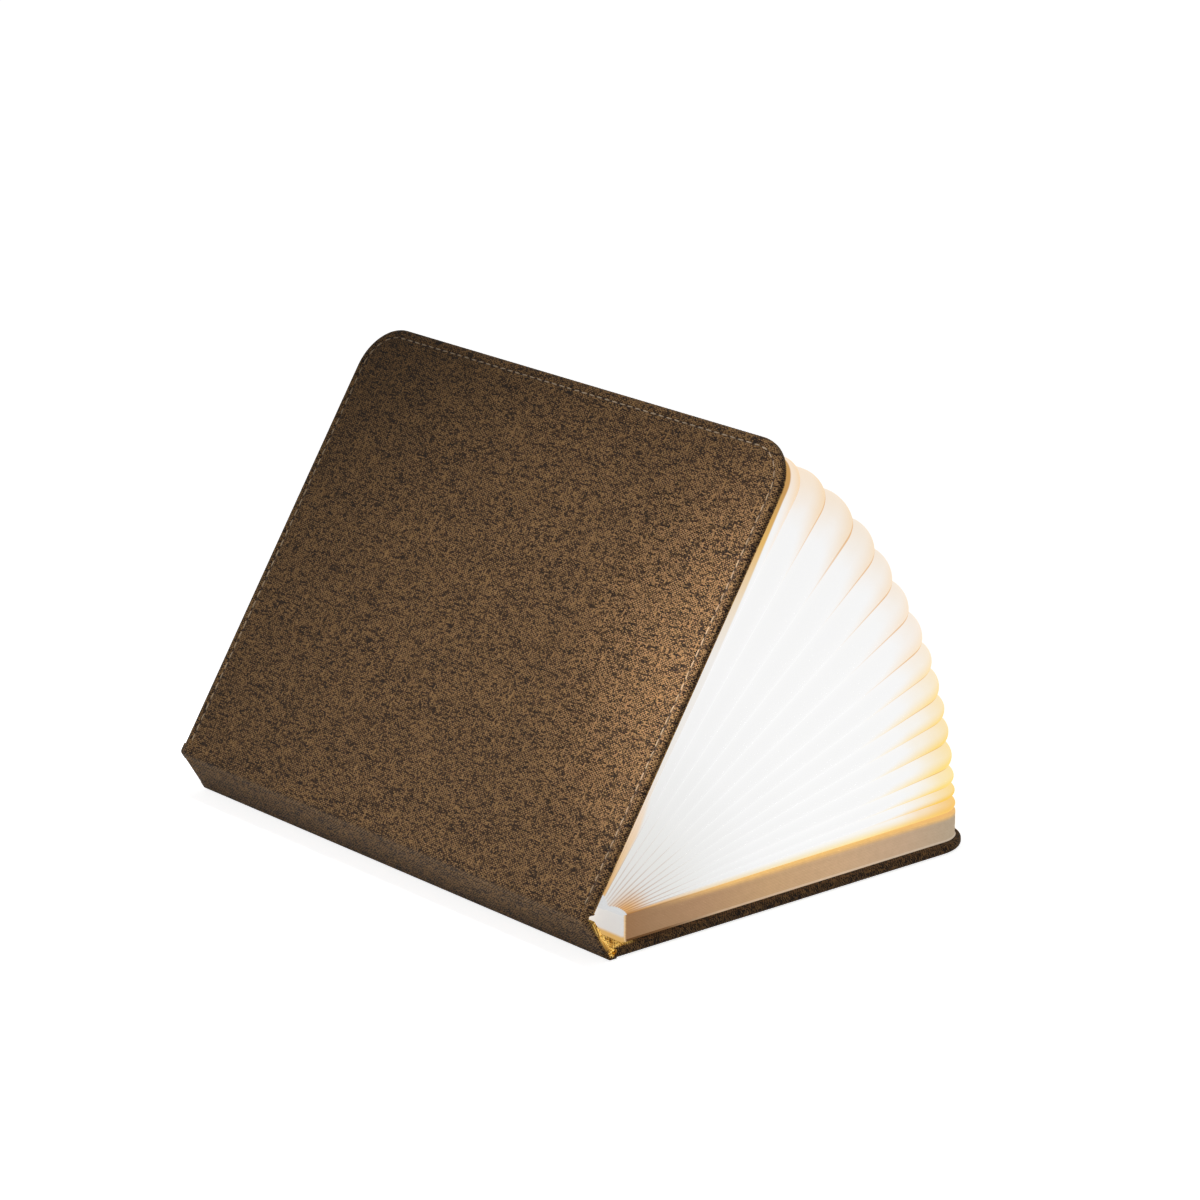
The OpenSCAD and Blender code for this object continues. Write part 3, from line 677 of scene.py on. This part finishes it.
def holeShadeMaterial():
    # painted shade: the needle holes near black
    mat, tree, shader = newMaterial("needleHoleShade", roughness=0.95)
    tone = noise(tree, tree.nodes.new("ShaderNodeTexCoord").outputs["Object"], 2600.0, 2.0)
    tree.links.new(blendColor(tree, tone, stitch["holeDark"], stitch["holeLight"]), shader.inputs["Base Color"])
    return mat


threadMaterial, holeMaterial = makeThread(), holeShadeMaterial()
for label, panel, flip, body, node in (("rear", rearFrame, False, "rear_cover", "rear_stitching"),
                                       ("front", frontFrame, True, "front_cover", "front_stitching")):
    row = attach(makeStitches(label + "StitchRow", panel, flip), body)
    row.data.materials.append(threadMaterial)
    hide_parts(node)
    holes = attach(makeHoles(label + "NeedleHoles", panel, flip), body)
    holes.data.materials.append(holeMaterial)
print("stitching made")

# folded and closed paper
pages = {
    "leafPitch": 0.52,      # height of one closed leaf at its edge
    "edgeWave": 0.30,       # how far a closed leaf's rounded edge stands out
    "setBack": 0.16,        # how far single closed leaves are set back at most
    "drift": 0.02,          # how far the closed leaves' edges wander up and down
    "ringCounts": (14, 2, 26, 8, 16),       # stations round a fold, as in the cover's counts
    "blockCounts": (30, 3, 90, 20, 90),     # and round the closed pages
    # a fold's rows: share of the way to the next fold, and depth from the ridge at 0 to the valley at 1
    "foldRows": [(-0.02, 1.02), (0.03, 0.36), (0.12, 0.12), (0.5, -0.045),
                 (0.88, 0.12), (0.97, 0.36), (1.02, 1.02)],
    "paper": 0.16,          # thickness of the folded paper
    "levels": 2,
    "bendWidth": 0.3,       # distance across the ridge over which a fold passes from one leaf to the next
    "bendReach": 80.0,      # distance from the hinge at which that passage is measured
    "colorReach": 160.0,    # distance from the hinge over which the colours below are spread
}


def ringLoops(stations, level):
    # level 0 is the ring of ridges and level 1 the ring of valleys
    level = np.asarray(level, float)
    start, end = book["pageStart"] + book["spineFold"] * level, book["pageEnd"] - book["foldDepth"] * level
    radius = book["pageRadius"] - (book["pageRadius"] - book["valleyRadius"]) * level
    return roundedPoints(stations, start, end, book["pageHalf"] - book["foldDepth"] * level, 1.0, radius)


def makeClosedPages(name, panel, bottom, top, flipLight):
    # closed leaves: the ring's outline stacked up, each leaf's edge standing out by the sine of its height
    # to the power 0.7, and whole leaves set back a little by chance
    stations, _ = roundedStations(pages["blockCounts"])
    leaves = max(2, int(round((top - bottom) / pages["leafPitch"])))
    perLeaf = 5
    t = np.arange(leaves * perLeaf + 1) / perLeaf
    h = bottom + (top - bottom) * t / leaves
    wave = np.abs(np.sin(math.pi * t)) ** 0.7
    which = np.minimum(t.astype(int), leaves - 1)
    setBack = seed.uniform(0.0, pages["setBack"], leaves)[which]
    inset = pages["edgeWave"] * (1 - wave) + setBack
    outer = ringLoops(stations, inset / book["foldDepth"])
    drift = np.sin(np.arange(len(stations)) / len(stations) * 2 * math.pi * 5)[None] * pages["drift"]
    outerH = h[:, None] + drift * np.sin(math.pi * t / leaves)[:, None]
    outer = np.concatenate([outer, outerH[..., None]], -1)
    lip = ringLoops(stations, [0.5, 1.3, 1.3, 0.5])
    lipH = np.array([top, top, bottom, bottom])[:, None] + np.zeros(len(stations))[None]
    lip = np.concatenate([lip, lipH[..., None]], -1)
    points = np.concatenate([outer, lip])
    tall = np.concatenate([(h - bottom) / (top - bottom), [1, 1, 0, 0]])
    if flipLight:
        tall = 1 - tall
    return gridObject(name, place(points, panel), closedU=True, closedV=True, outward=True,
                      marks={"tall": tall[:, None], "reach": points[..., 0]})


def makeEndPaper(name, panel, bottom, top):
    # a flat sheet: the pages' outline at nine heights, drawn in a little towards both faces, which close at
    # the middle
    stations, _ = roundedStations(pages["blockCounts"])
    mid, half = (top + bottom) / 2, (top - bottom) / 2
    level = np.array([5.0, 0.3, 0.03, 0.0, -0.02, 0.0, 0.03, 0.3, 5.0])
    h = mid + half * np.array([1, 1, 0.96, 0.6, 0, -0.6, -0.96, -1, -1])
    loops = ringLoops(stations, np.minimum(level, 1.2))
    center = loops[[0, -1]].mean(1, keepdims=True)
    loops[[0, -1]] = center + (loops[[0, -1]] - center) * 1e-4
    points = np.concatenate([loops, np.broadcast_to(h[:, None, None], loops.shape[:2] + (1,))], -1)
    return gridObject(name, place(points, panel), closedV=True, outward=True, merge=True,
                      marks={"tall": np.full((len(h), 1), 0.0), "reach": points[..., 0]})


def leafAngles(names, start):
    return start + np.concatenate([[0], np.cumsum([ratios[n] for n in names])])


rearNames = [f"fold_{k:02d}" for k in range(1, 11)]
frontNames = [f"fold_{k:02d}" for k in range(11, 16)]
rearTurns = rearOpen * leafAngles(rearNames, 0.0)
frontTurns = rearOpen + frontOpen * leafAngles(frontNames, 0.0)


def makeFold(number, axis, turns, rises, bulges):
    # a fold is seven rows round the ring, from one valley over the ridge to the next, smoothed by
    # subdivision; a row's turn and height go evenly from one leaf's to the other's, and it bulges out in
    # proportion to the distance from the spine
    stations, _ = roundedStations(pages["ringCounts"])
    t, level = np.array(pages["foldRows"]).T
    xy = ringLoops(stations, level)
    turn = np.radians(turns[0] + t * (turns[1] - turns[0]))[:, None]
    h = (rises[0] + t * (rises[1] - rises[0]))[:, None]
    bulge = (bulges[0] + t * (bulges[1] - bulges[0]))[:, None]
    reach = xy[..., 0]
    x = reach + bulge * (reach - book["pageStart"]) / (book["pageEnd"] - book["pageStart"])
    points = np.stack([axis[0] + x * np.cos(turn) - h * np.sin(turn), xy[..., 1],
                       axis[2] + x * np.sin(turn) + h * np.cos(turn)], -1)
    obj = gridObject(f"paperFold{number:02d}", points, closedV=True,
                     marks={"fold": t[:, None], "reach": reach, "height": ((number - 1 + t) / 15)[:, None]})
    smooth = obj.modifiers.new("smooth", "SUBSURF")
    smooth.levels = smooth.render_levels = pages["levels"]
    smooth.boundary_smooth = "ALL"
    thick = obj.modifiers.new("thick", "SOLIDIFY")
    thick.thickness, thick.offset = pages["paper"] / 1000, -1.0
    # two points across the plane through the fold's ridge, bendWidth apart at bendReach from the hinge
    middle = (axis, (turns[0] + turns[1]) / 2)
    height = (rises[0] + rises[1]) / 2 + np.array([-0.5, 0.5]) * pages["bendWidth"]
    ends = [place(np.array([pages["bendReach"], 0.0, h]), middle) / 1000 for h in height]
    return obj, ends


def alongPage(tree, reach, pairs):
    # a colour by distance from the hinge, in millimetres
    full = pages["colorReach"]
    return stops(tree, calc(tree, "DIVIDE", reach, full), *[(at / full, color) for at, color in pairs])


paper = {
    # painted light by distance from the hinge, darker near it: the middle of the fan, its lowest fold, and
    # the strip beside the front cover
    "core": [(0, srgb(220, 219, 216)), (20, srgb(226, 225, 222)), (30, srgb(230, 230, 227)),
             (45, srgb(238, 238, 237)), (65, srgb(246, 246, 246)), (90, srgb(249, 249, 249)),
             (160, srgb(249, 249, 249))],
    "first": [(8, srgb(150, 104, 58)), (20, srgb(224, 172, 96)), (40, srgb(240, 208, 150)),
              (70, srgb(248, 226, 168)), (110, srgb(255, 230, 150)), (150, srgb(250, 204, 112))],
    "last": [(8, srgb(222, 176, 112)), (22, srgb(232, 200, 158)), (34, srgb(240, 216, 190)),
             (50, srgb(238, 234, 228)), (90, srgb(241, 238, 234)), (110, srgb(238, 220, 194)),
             (130, srgb(228, 184, 106)), (148, srgb(200, 152, 88))],
    "stripFolds": [(0, 1.5), (30, 1.5), (50, 0.8), (110, 0.45), (130, 0.33), (145, 0.26)],   # width in folds
    # painted light at the fore-edge, peach to amber, and the distance over which it fades, both by height in the
    # fan
    "tint": [(0.03, srgb(246, 186, 68)), (0.1, srgb(251, 208, 96)), (0.17, srgb(254, 225, 136)),
             (0.3, srgb(252, 217, 118)), (0.43, srgb(254, 220, 134)), (0.57, srgb(249, 226, 198)),
             (0.8, srgb(243, 218, 184)), (1.0, srgb(247, 210, 160))],
    "width": [(0.0, 54.0), (0.1, 48.0), (0.17, 42.0), (0.4, 37.0), (0.6, 27.0), (0.85, 29.0), (1.0, 36.0)],
    "spineGlow": srgb(226, 166, 82), "spineSide": srgb(214, 215, 216), "fibre": (0.6, 0.5, 0.4),
    "creaseShade": srgb(220, 166, 104), "spineCreaseShade": srgb(158, 102, 46),
    # distances from the hinge, or for foreReach from the fore-edge, between which each goes from none to full
    "blockReach": (40.0, 14.0), "spineReach": (22.0, 10.0),
    "creaseReach": (50.0, 14.0), "foreReach": (42.0, 4.0),
    "glow": 0.955, "base": 0.05,
}


def makePaper():
    # lit paper, its colour all painted light in the emission: white in the middle, peach to amber where the
    # folds turn at the fore-edge, deepest under each fold, with painted shade in the creases; "fold" goes from
    # 0 to 1 over each fold and "height" over the whole fan, and "reach" is the distance from the hinge
    mat, tree, shader = newMaterial("litPaper", roughness=0.7)
    shader.inputs["Specular IOR Level"].default_value = 0.2
    fold, reach, height = (mark(tree, name) for name in ("fold", "reach", "height"))
    coords = tree.nodes.new("ShaderNodeTexCoord").outputs["Object"]
    cloud = noise(tree, coords, 90.0, 3.0)
    core = alongPage(tree, reach, paper["core"])
    # painted shade: the upper folds a little greyer
    core = blendColor(tree, ramp(tree, height, 0.55, 1.0, 0.0, 0.10), core, (0.80, 0.80, 0.80))
    fromEdge = minus(tree, book["pageEnd"], reach)
    width = numberStops(tree, height, paper["width"], 60.0)
    under = ramp(tree, fold, 0.75, 0.12)                       # 1 on a fold's lower side
    wide = times(tree, width, plus(tree, times(tree, under, 0.55), scaled(tree, cloud, 0.5, 0.45)))
    fore = ramp(tree, calc(tree, "DIVIDE", fromEdge, wide), 1.0, 0.0)
    deeper = scaled(tree, ramp(tree, height, 0.5, 0.05), 0.32, 0.6)
    fore = times(tree, fore, scaled(tree, under, 0.4, deeper), clamp=True)
    # painted peach to amber light where the folds turn at the fore-edge
    color = blendColor(tree, fore, core, stops(tree, height, *paper["tint"]))
    # painted amber light near the spine on the lower folds, and where they lie by the block
    nearBlock = times(tree, ramp(tree, height, 0.10, 0.0), ramp(tree, reach, *paper["blockReach"]))
    nearSpine = times(tree, ramp(tree, height, 0.80, 0.25), ramp(tree, reach, *paper["spineReach"]))
    near = calc(tree, "MAXIMUM", nearBlock, times(tree, nearSpine, 0.85))
    color = blendColor(tree, near, color, paper["spineGlow"])
    amber = times(tree, ramp(tree, height, 0.075, 0.015), 0.9)    # painted amber light on the fold that lies on the block
    color = blendColor(tree, amber, color, alongPage(tree, reach, paper["first"]))
    folds = times(tree, minus(tree, 1.0, height), 15.0)           # counted down from the front cover
    full = pages["colorReach"]
    places = [(at / full, w) for at, w in paper["stripFolds"]]
    wide = numberStops(tree, calc(tree, "DIVIDE", reach, full), places, 2.0)
    strip = ramp(tree, calc(tree, "DIVIDE", folds, wide), 1.12, 0.88)        # painted light on the paper beside the front cover
    color = blendColor(tree, strip, color, alongPage(tree, reach, paper["last"]))
    # painted shade along each fold's lower crease near the fore-edge
    foreShadeMask = times(tree, ramp(tree, fold, 0.17, 0.12), ramp(tree, fromEdge, *paper["foreReach"]))
    color = blendColor(tree, times(tree, foreShadeMask, 0.8), color, paper["creaseShade"])
    # painted shade in the creases near the spine, where only a fold's upper part shows
    seen = ramp(tree, reach, 12.0, 60.0, 0.46, 0.14, smooth=False)
    spineShadeMask = ramp(tree, minus(tree, fold, seen), 0.23, 0.05)
    spineShadeMask = times(tree, spineShadeMask, ramp(tree, reach, *paper["creaseReach"]))
    spineShadeMask = times(tree, spineShadeMask, ramp(tree, height, 1.0, 0.45, 0.45, 1.0))
    spineShadeMask = times(tree, spineShadeMask, scaled(tree, cloud, 1.1, 0.15), clamp=True)
    color = blendColor(tree, spineShadeMask, color, paper["spineCreaseShade"])
    # painted light: the fan's face on the spine side pale grey
    spineSide = ramp(tree, reach, book["pageStart"] + 1.4, book["pageStart"] + 0.9)
    color = blendColor(tree, spineSide, color, paper["spineSide"])
    fibre = noise(tree, coords, 900.0, 3.0, 0.7)
    color = blendColor(tree, times(tree, fibre, 0.03), color, paper["fibre"])
    shader.inputs["Emission Strength"].default_value = paper["glow"]
    tree.links.new(color, shader.inputs["Emission Color"])
    tree.links.new(blendColor(tree, paper["base"], (0.0, 0.0, 0.0), color), shader.inputs["Base Color"])
    addBump(tree, shader, fibre, 0.00003, 0.5)
    return mat


closed = {
    # painted light on the leaves' edges by distance from the hinge, darker near it: the rear block's, the end
    # sheet's and the front stack's
    "blockEdge": [(8, srgb(150, 112, 78)), (20, srgb(160, 126, 94)), (40, srgb(177, 141, 108)),
                  (70, srgb(200, 164, 124)), (100, srgb(206, 172, 136)), (130, srgb(198, 170, 142)),
                  (150, srgb(184, 166, 142))],
    "sheetEdge": [(8, srgb(84, 52, 22)), (26, srgb(122, 90, 60)), (48, srgb(206, 178, 146)),
                  (100, srgb(222, 198, 170)), (150, srgb(200, 184, 164))],
    "stackEdge": [(8, srgb(214, 164, 100)), (30, srgb(236, 208, 176)), (70, srgb(240, 232, 220)),
                  (110, srgb(236, 212, 180)), (150, srgb(190, 142, 80))],
    # blockTop is the painted glow where light leaks out at the top edge
    "blockTop": srgb(240, 194, 124), "leafLine": (0.22, 0.12, 0.05),
    "spineSide": srgb(213, 213, 213), "spineFootGlow": srgb(212, 172, 104), "corner": srgb(240, 204, 152),
}


def closedPaper(name, edge, topEdge, share):
    # paper edges, their colour mostly painted light in the emission: fine leaf lines and fibres, light leaking out
    # towards the open folds, pale on the spine side with amber at its foot and corner; share is the part of the
    # light that comes from the room
    mat, tree, shader = newMaterial(name, roughness=0.8)
    shader.inputs["Specular IOR Level"].default_value = 0.2
    coords = tree.nodes.new("ShaderNodeTexCoord").outputs["Object"]
    tall, reach = mark(tree, "tall"), mark(tree, "reach")
    fleck = noise(tree, coords, 420.0, 4.0, 0.65)
    band = noise(tree, vector(tree, times(tree, tall, 23.0)), 1.0, 2.0)
    tone = scaled(tree, fleck, 0.5, times(tree, band, 0.5))
    color = alongPage(tree, reach, edge)
    leak = times(tree, ramp(tree, tall, 0.78, 1.0), ramp(tree, reach, 14.0, 60.0))
    color = blendColor(tree, leak, color, topEdge)
    color = blendColor(tree, scaled(tree, tone, -0.6, 0.42, clamp=True), color, closed["leafLine"])
    start = book["pageStart"]
    # painted light on the spine side: pale, amber at its foot, and an amber band at the corner
    spineSide = ramp(tree, reach, start + 1.0, start + 0.4)
    pale = blendColor(tree, ramp(tree, tall, 0.22, 0.06), closed["spineSide"], closed["spineFootGlow"])
    corner = ramp(tree, reach, start + 0.4, start + 0.7)
    corner = times(tree, corner, ramp(tree, reach, start + 1.7, start + 0.9))
    color = blendColor(tree, times(tree, corner, 0.8), color, closed["corner"])
    color = blendColor(tree, spineSide, color, pale)
    tree.links.new(blendColor(tree, share, (0.0, 0.0, 0.0), color), shader.inputs["Base Color"])
    shader.inputs["Emission Strength"].default_value = 1.0 - 0.42 * share
    tree.links.new(color, shader.inputs["Emission Color"])
    addBump(tree, shader, fleck, 0.00004, 0.6)
    return mat


litPaper = makePaper()
blockPaper = closedPaper("blockPaper", closed["blockEdge"], closed["blockTop"], 0.3)
sheetPaper = closedPaper("sheetPaper", closed["sheetEdge"], closed["sheetEdge"][-1][1], 0.4)
stackPaper = closedPaper("stackPaper", closed["stackEdge"], closed["blockTop"], 0.4)

block = makeClosedPages("rearPageBlock", rearFrame, book["blockBottom"], book["blockTop"], False)
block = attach(block, "rear_cover")
block.data.materials.append(blockPaper)
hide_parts("rear_page_block")
stack = makeClosedPages("frontPageStack", frontFrame, -book["stackBottom"], -book["stackTop"], True)
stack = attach(stack, "front_cover")
stack.data.materials.append(stackPaper)
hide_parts("front_page_stack")
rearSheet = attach(makeEndPaper("rearEndSheet", rearFrame, 1.5, book["blockBottom"]), "rear_cover")
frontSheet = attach(makeEndPaper("frontEndSheet", frontFrame, -book["stackTop"], -1.5), "front_cover")
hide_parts("rear_end_paper")
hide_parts("front_end_paper")
rearSheet.data.materials.append(sheetPaper)
frontSheet.data.materials.append(stackPaper)

rise = book["firstLeaf"] + book["leafRise"] * np.arange(16)
# leaves high in the fan stand out farther
bulge = book["fanBulge"] * np.sin(math.pi * (np.arange(16) / 15) ** 2.2)
for k in range(15):
    front = k >= 10
    turns = (frontTurns if front else rearTurns)[[k - 10, k - 9] if front else [k, k + 1]]
    rises = rise[[k, k + 1]] - (hingePitch if front else 0.0)
    fold, ends = makeFold(k + 1, frontAxis if front else rearAxis, turns, rises, bulge[[k, k + 1]])
    fold.data.materials.append(litPaper)
    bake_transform(fold)
    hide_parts(f"pleat_{k + 1:02d}")
print("pages made")


def makeGrain():
    # two sizes of noise: a soft mottling and a fine tooth
    tree, given, out = newGroup(
        "surfaceGrain",
        [("Position", "NodeSocketVector", None), ("Fine", "NodeSocketFloat", 1500.0),
         ("Coarse", "NodeSocketFloat", 120.0), ("First", "NodeSocketColor", (1, 1, 1, 1)),
         ("Second", "NodeSocketColor", (0, 0, 0, 1))],
        [("Color", "NodeSocketColor"), ("Rough", "NodeSocketFloat"), ("Height", "NodeSocketFloat")])
    fine = noise(tree, given["Position"], given["Fine"], 3.0, 0.6)
    coarse = noise(tree, given["Position"], given["Coarse"], 3.0, 0.5)
    mixed = scaled(tree, fine, 0.4, times(tree, coarse, 0.6))
    tree.links.new(blendColor(tree, ramp(tree, mixed, 0.3, 0.7), given["First"], given["Second"]), out["Color"])
    tree.links.new(scaled(tree, coarse, 0.4, 0.8), out["Rough"])
    tree.links.new(fine, out["Height"])
    return tree


grainGroup = makeGrain()


def grainMaterial(name, color, roughness, spread=0.12, fine=1500.0, coarse=120.0, bump=0.00002, glow=None,
                  stretch=(1, 1, 1), metallic=0.0):
    mat, tree, shader = newMaterial(name, metallic=metallic)
    mapping = tree.nodes.new("ShaderNodeMapping")
    mapping.inputs["Scale"].default_value = stretch
    tree.links.new(tree.nodes.new("ShaderNodeTexCoord").outputs["Object"], mapping.inputs[0])
    first = (*[c * (1 - spread) for c in color], 1)
    second = (*[min(1, c * (1 + spread)) for c in color], 1)
    grain = useGroup(tree, grainGroup, Position=mapping.outputs[0], Fine=fine, Coarse=coarse, First=first,
                     Second=second)
    tree.links.new(grain["Color"], shader.inputs["Base Color"])
    tree.links.new(times(tree, grain["Rough"], roughness), shader.inputs["Roughness"])
    addBump(tree, shader, grain["Height"], bump, 0.6)
    if glow:
        shader.inputs["Emission Strength"].default_value = glow[1]
        lit = blendColor(tree, times(tree, grain["Rough"], 0.3), (*glow[0], 1), (1, 0.95, 0.85, 1))
        tree.links.new(lit, shader.inputs["Emission Color"])
    return mat


# name, colour, roughness and how far the colour varies, then the fine and coarse grain and the bump in metres
finishes = {
    "greyboard": (grainMaterial("pressedBoard", srgb(186, 170, 142), 0.9, 0.2, 900, 200, 0.00005),
                  ["rear_board", "front_board", "spine_board"]),
    "lining": (grainMaterial("liningPaper", srgb(236, 222, 198), 0.85, 0.05, 1200, 90),
               ["rear_lining", "front_lining", "spine_lining"]),
    "magnet": (grainMaterial("platedMagnet", srgb(196, 198, 204), 0.25, 0.05, metallic=1.0),
               ["rear_magnets", "front_magnets", "switch_magnet"]),
    "tape": (grainMaterial("foamTape", srgb(222, 222, 216), 0.95, 0.1, 2500, 400, 0.0001), ["mounting_tape"]),
    "tray": (grainMaterial("anodisedTray", srgb(214, 216, 220), 0.35, 0.06, 900, 60, 0.00001, metallic=1.0,
                           stretch=(1, 0.04, 1)),
             ["bar_tray"]),
    "diffuser": (grainMaterial("opalDiffuser", srgb(255, 246, 228), 0.4, 0.02, glow=(srgb(255, 206, 120), 2.2)),
                 ["diffuser"]),
    "caps": (grainMaterial("mouldedCap", srgb(232, 230, 224), 0.5, 0.03, 2200, 150, 0.00003),
             ["head_end_cap", "tail_end_cap"]),
    "screws": (grainMaterial("zincScrew", srgb(160, 165, 172), 0.3, 0.08, metallic=1.0), ["cap_screws"]),
    "whiteBoard": (grainMaterial("whiteSolderMask", srgb(246, 246, 240), 0.3, 0.03), ["led_board"]),
    "chips": (grainMaterial("phosphorChip", srgb(255, 214, 110), 0.3, 0.05, glow=(srgb(255, 214, 130), 4.0)),
              ["leds"]),
    "black": (grainMaterial("blackMoulding", srgb(34, 34, 35), 0.45, 0.2),
              ["cover_sensor", "control_chips", "socket_tongue"]),
    "green": (grainMaterial("greenSolderMask", srgb(38, 92, 56), 0.3, 0.15), ["control_board"]),
    "socket": (grainMaterial("pressedSocket", srgb(198, 200, 204), 0.28, 0.06, metallic=1.0),
               ["charging_socket"]),
    "indicator": (grainMaterial("indicatorPipe", srgb(255, 150, 70), 0.2, 0.05, glow=(srgb(255, 120, 40), 1.0)),
                  ["charge_indicator"]),
    "cell": (grainMaterial("batteryFilm", srgb(150, 172, 190), 0.25, 0.08, 700, 40), ["battery"]),
    "pads": (grainMaterial("cellRubber", srgb(58, 58, 58), 0.95, 0.25, 3000, 700, 0.0001), ["battery_pads"]),
    "leads": (grainMaterial("leadInsulation", srgb(176, 48, 42), 0.4, 0.1), ["battery_leads"]),
}
for finish, members in finishes.values():
    for member in members:
        solid = frame["nodes"][member]
        solid.data.materials.clear()
        solid.data.materials.append(finish)
print("light bar finished")

stage = {
    "key": {"at": (-0.081, -0.032, 0.385), "towards": (-0.245, -0.054, 0.093), "size": 0.06, "power": 0.96,
            "spread": 104.9},
    "kicker": {"at": (-0.405, -0.090, 0.182), "towards": (-0.060, -0.138, 0.095), "size": 0.04, "power": 0.085,
               "spread": 27.0},
    "world": 0.28,
    "floorSize": 6.0, "floorDrop": 0.0003, "floorColor": 0.80, "floorGlow": 0.84,
}


def seenDirectly(tree):
    # 1 for what the camera sees straight, in a mirror or through glass
    path = tree.nodes.new("ShaderNodeLightPath").outputs
    both = plus(tree, path["Is Camera Ray"], path["Is Glossy Ray"])
    return plus(tree, both, path["Is Transmission Ray"], clamp=True)


def makeFloor():
    size, z = stage["floorSize"], -stage["floorDrop"]
    mesh = bpy.data.meshes.new("studioFloor")
    corners = [(-size, -size, z), (size, -size, z), (size, size, z), (-size, size, z)]
    mesh.from_pydata(corners, [], [(0, 1, 2, 3)])
    obj = bpy.data.objects.new("studioFloor", mesh)
    bpy.context.scene.collection.objects.link(obj)
    mat = bpy.data.materials.new("paleFloor")
    mat.use_nodes = True
    tree = mat.node_tree
    tree.nodes.clear()
    diffuse, glow, both = (tree.nodes.new("ShaderNode" + k) for k in ("BsdfDiffuse", "Emission", "AddShader"))
    diffuse.inputs[0].default_value = (*[stage["floorColor"]] * 3, 1)
    tree.links.new(times(tree, seenDirectly(tree), stage["floorGlow"]), glow.inputs["Strength"])
    tree.links.new(diffuse.outputs[0], both.inputs[0])
    tree.links.new(glow.outputs[0], both.inputs[1])
    tree.links.new(both.outputs[0], tree.nodes.new("ShaderNodeOutputMaterial").inputs[0])
    mesh.materials.append(mat)


def makeWorld():
    world = bpy.data.worlds.new("studioWorld")
    bpy.context.scene.world = world
    world.use_nodes = True
    tree = world.node_tree
    tree.nodes.clear()
    soft, white, pick = (tree.nodes.new("ShaderNode" + k) for k in ("Background", "Background", "MixShader"))
    soft.inputs["Strength"].default_value, white.inputs["Strength"].default_value = stage["world"], 1.0
    soft.inputs["Color"].default_value = white.inputs["Color"].default_value = (1, 1, 1, 1)
    tree.links.new(seenDirectly(tree), pick.inputs[0])
    tree.links.new(soft.outputs[0], pick.inputs[1])
    tree.links.new(white.outputs[0], pick.inputs[2])
    tree.links.new(pick.outputs[0], tree.nodes.new("ShaderNodeOutputWorld").inputs[0])


def makeLamp(name, spec):
    light = bpy.data.lights.new(name, "AREA")
    light.shape, light.size, light.energy = "SQUARE", spec["size"], spec["power"]
    light.spread = math.radians(spec["spread"])
    obj = bpy.data.objects.new(name, light)
    obj.visible_camera = False
    back = np.array(spec["at"]) - np.array(spec["towards"])
    back = back / np.linalg.norm(back)
    right = np.cross([0, 0, 1.0], back)
    right = right / np.linalg.norm(right)
    turn = np.eye(4)
    turn[:3, :4] = np.stack([right, np.cross(back, right), back, spec["at"]], 1)
    obj.matrix_world = Matrix(turn.tolist())
    bpy.context.scene.collection.objects.link(obj)


view = {
    "at": (-1.016677, -1.208370, 0.566126),
    "azimuth": 49.7917, "down": 17.2383, "roll": -0.2519,      # degrees
    "lens": 148.3095, "sensor": 36.0,                          # millimetres
}


def makeCamera():
    # looks along the azimuth from +X towards +Y, tipped down, with a slight roll
    a, e, roll = (math.radians(view[k]) for k in ("azimuth", "down", "roll"))
    ahead = np.array([math.cos(e) * math.cos(a), math.cos(e) * math.sin(a), -math.sin(e)])
    right = np.cross(ahead, [0, 0, 1.0])
    right = right / np.linalg.norm(right)
    up = np.cross(right, ahead)
    x = math.cos(roll) * right + math.sin(roll) * up
    y = -math.sin(roll) * right + math.cos(roll) * up
    turn = np.eye(4)
    turn[:3, :4] = np.stack([x, y, -ahead, view["at"]], 1)
    data = bpy.data.cameras.new("photoCamera")
    data.lens, data.sensor_width = view["lens"], view["sensor"]
    data.clip_start, data.clip_end = 0.01, 50.0
    obj = bpy.data.objects.new("photoCamera", data)
    obj.matrix_world = Matrix(turn.tolist())
    bpy.context.scene.collection.objects.link(obj)
    bpy.context.scene.camera = obj


makeFloor()
makeWorld()
makeLamp("keyLamp", stage["key"])
makeLamp("kickerLamp", stage["kicker"])
makeCamera()
bpy.context.scene.view_settings.view_transform = "Standard"

print("stage set")
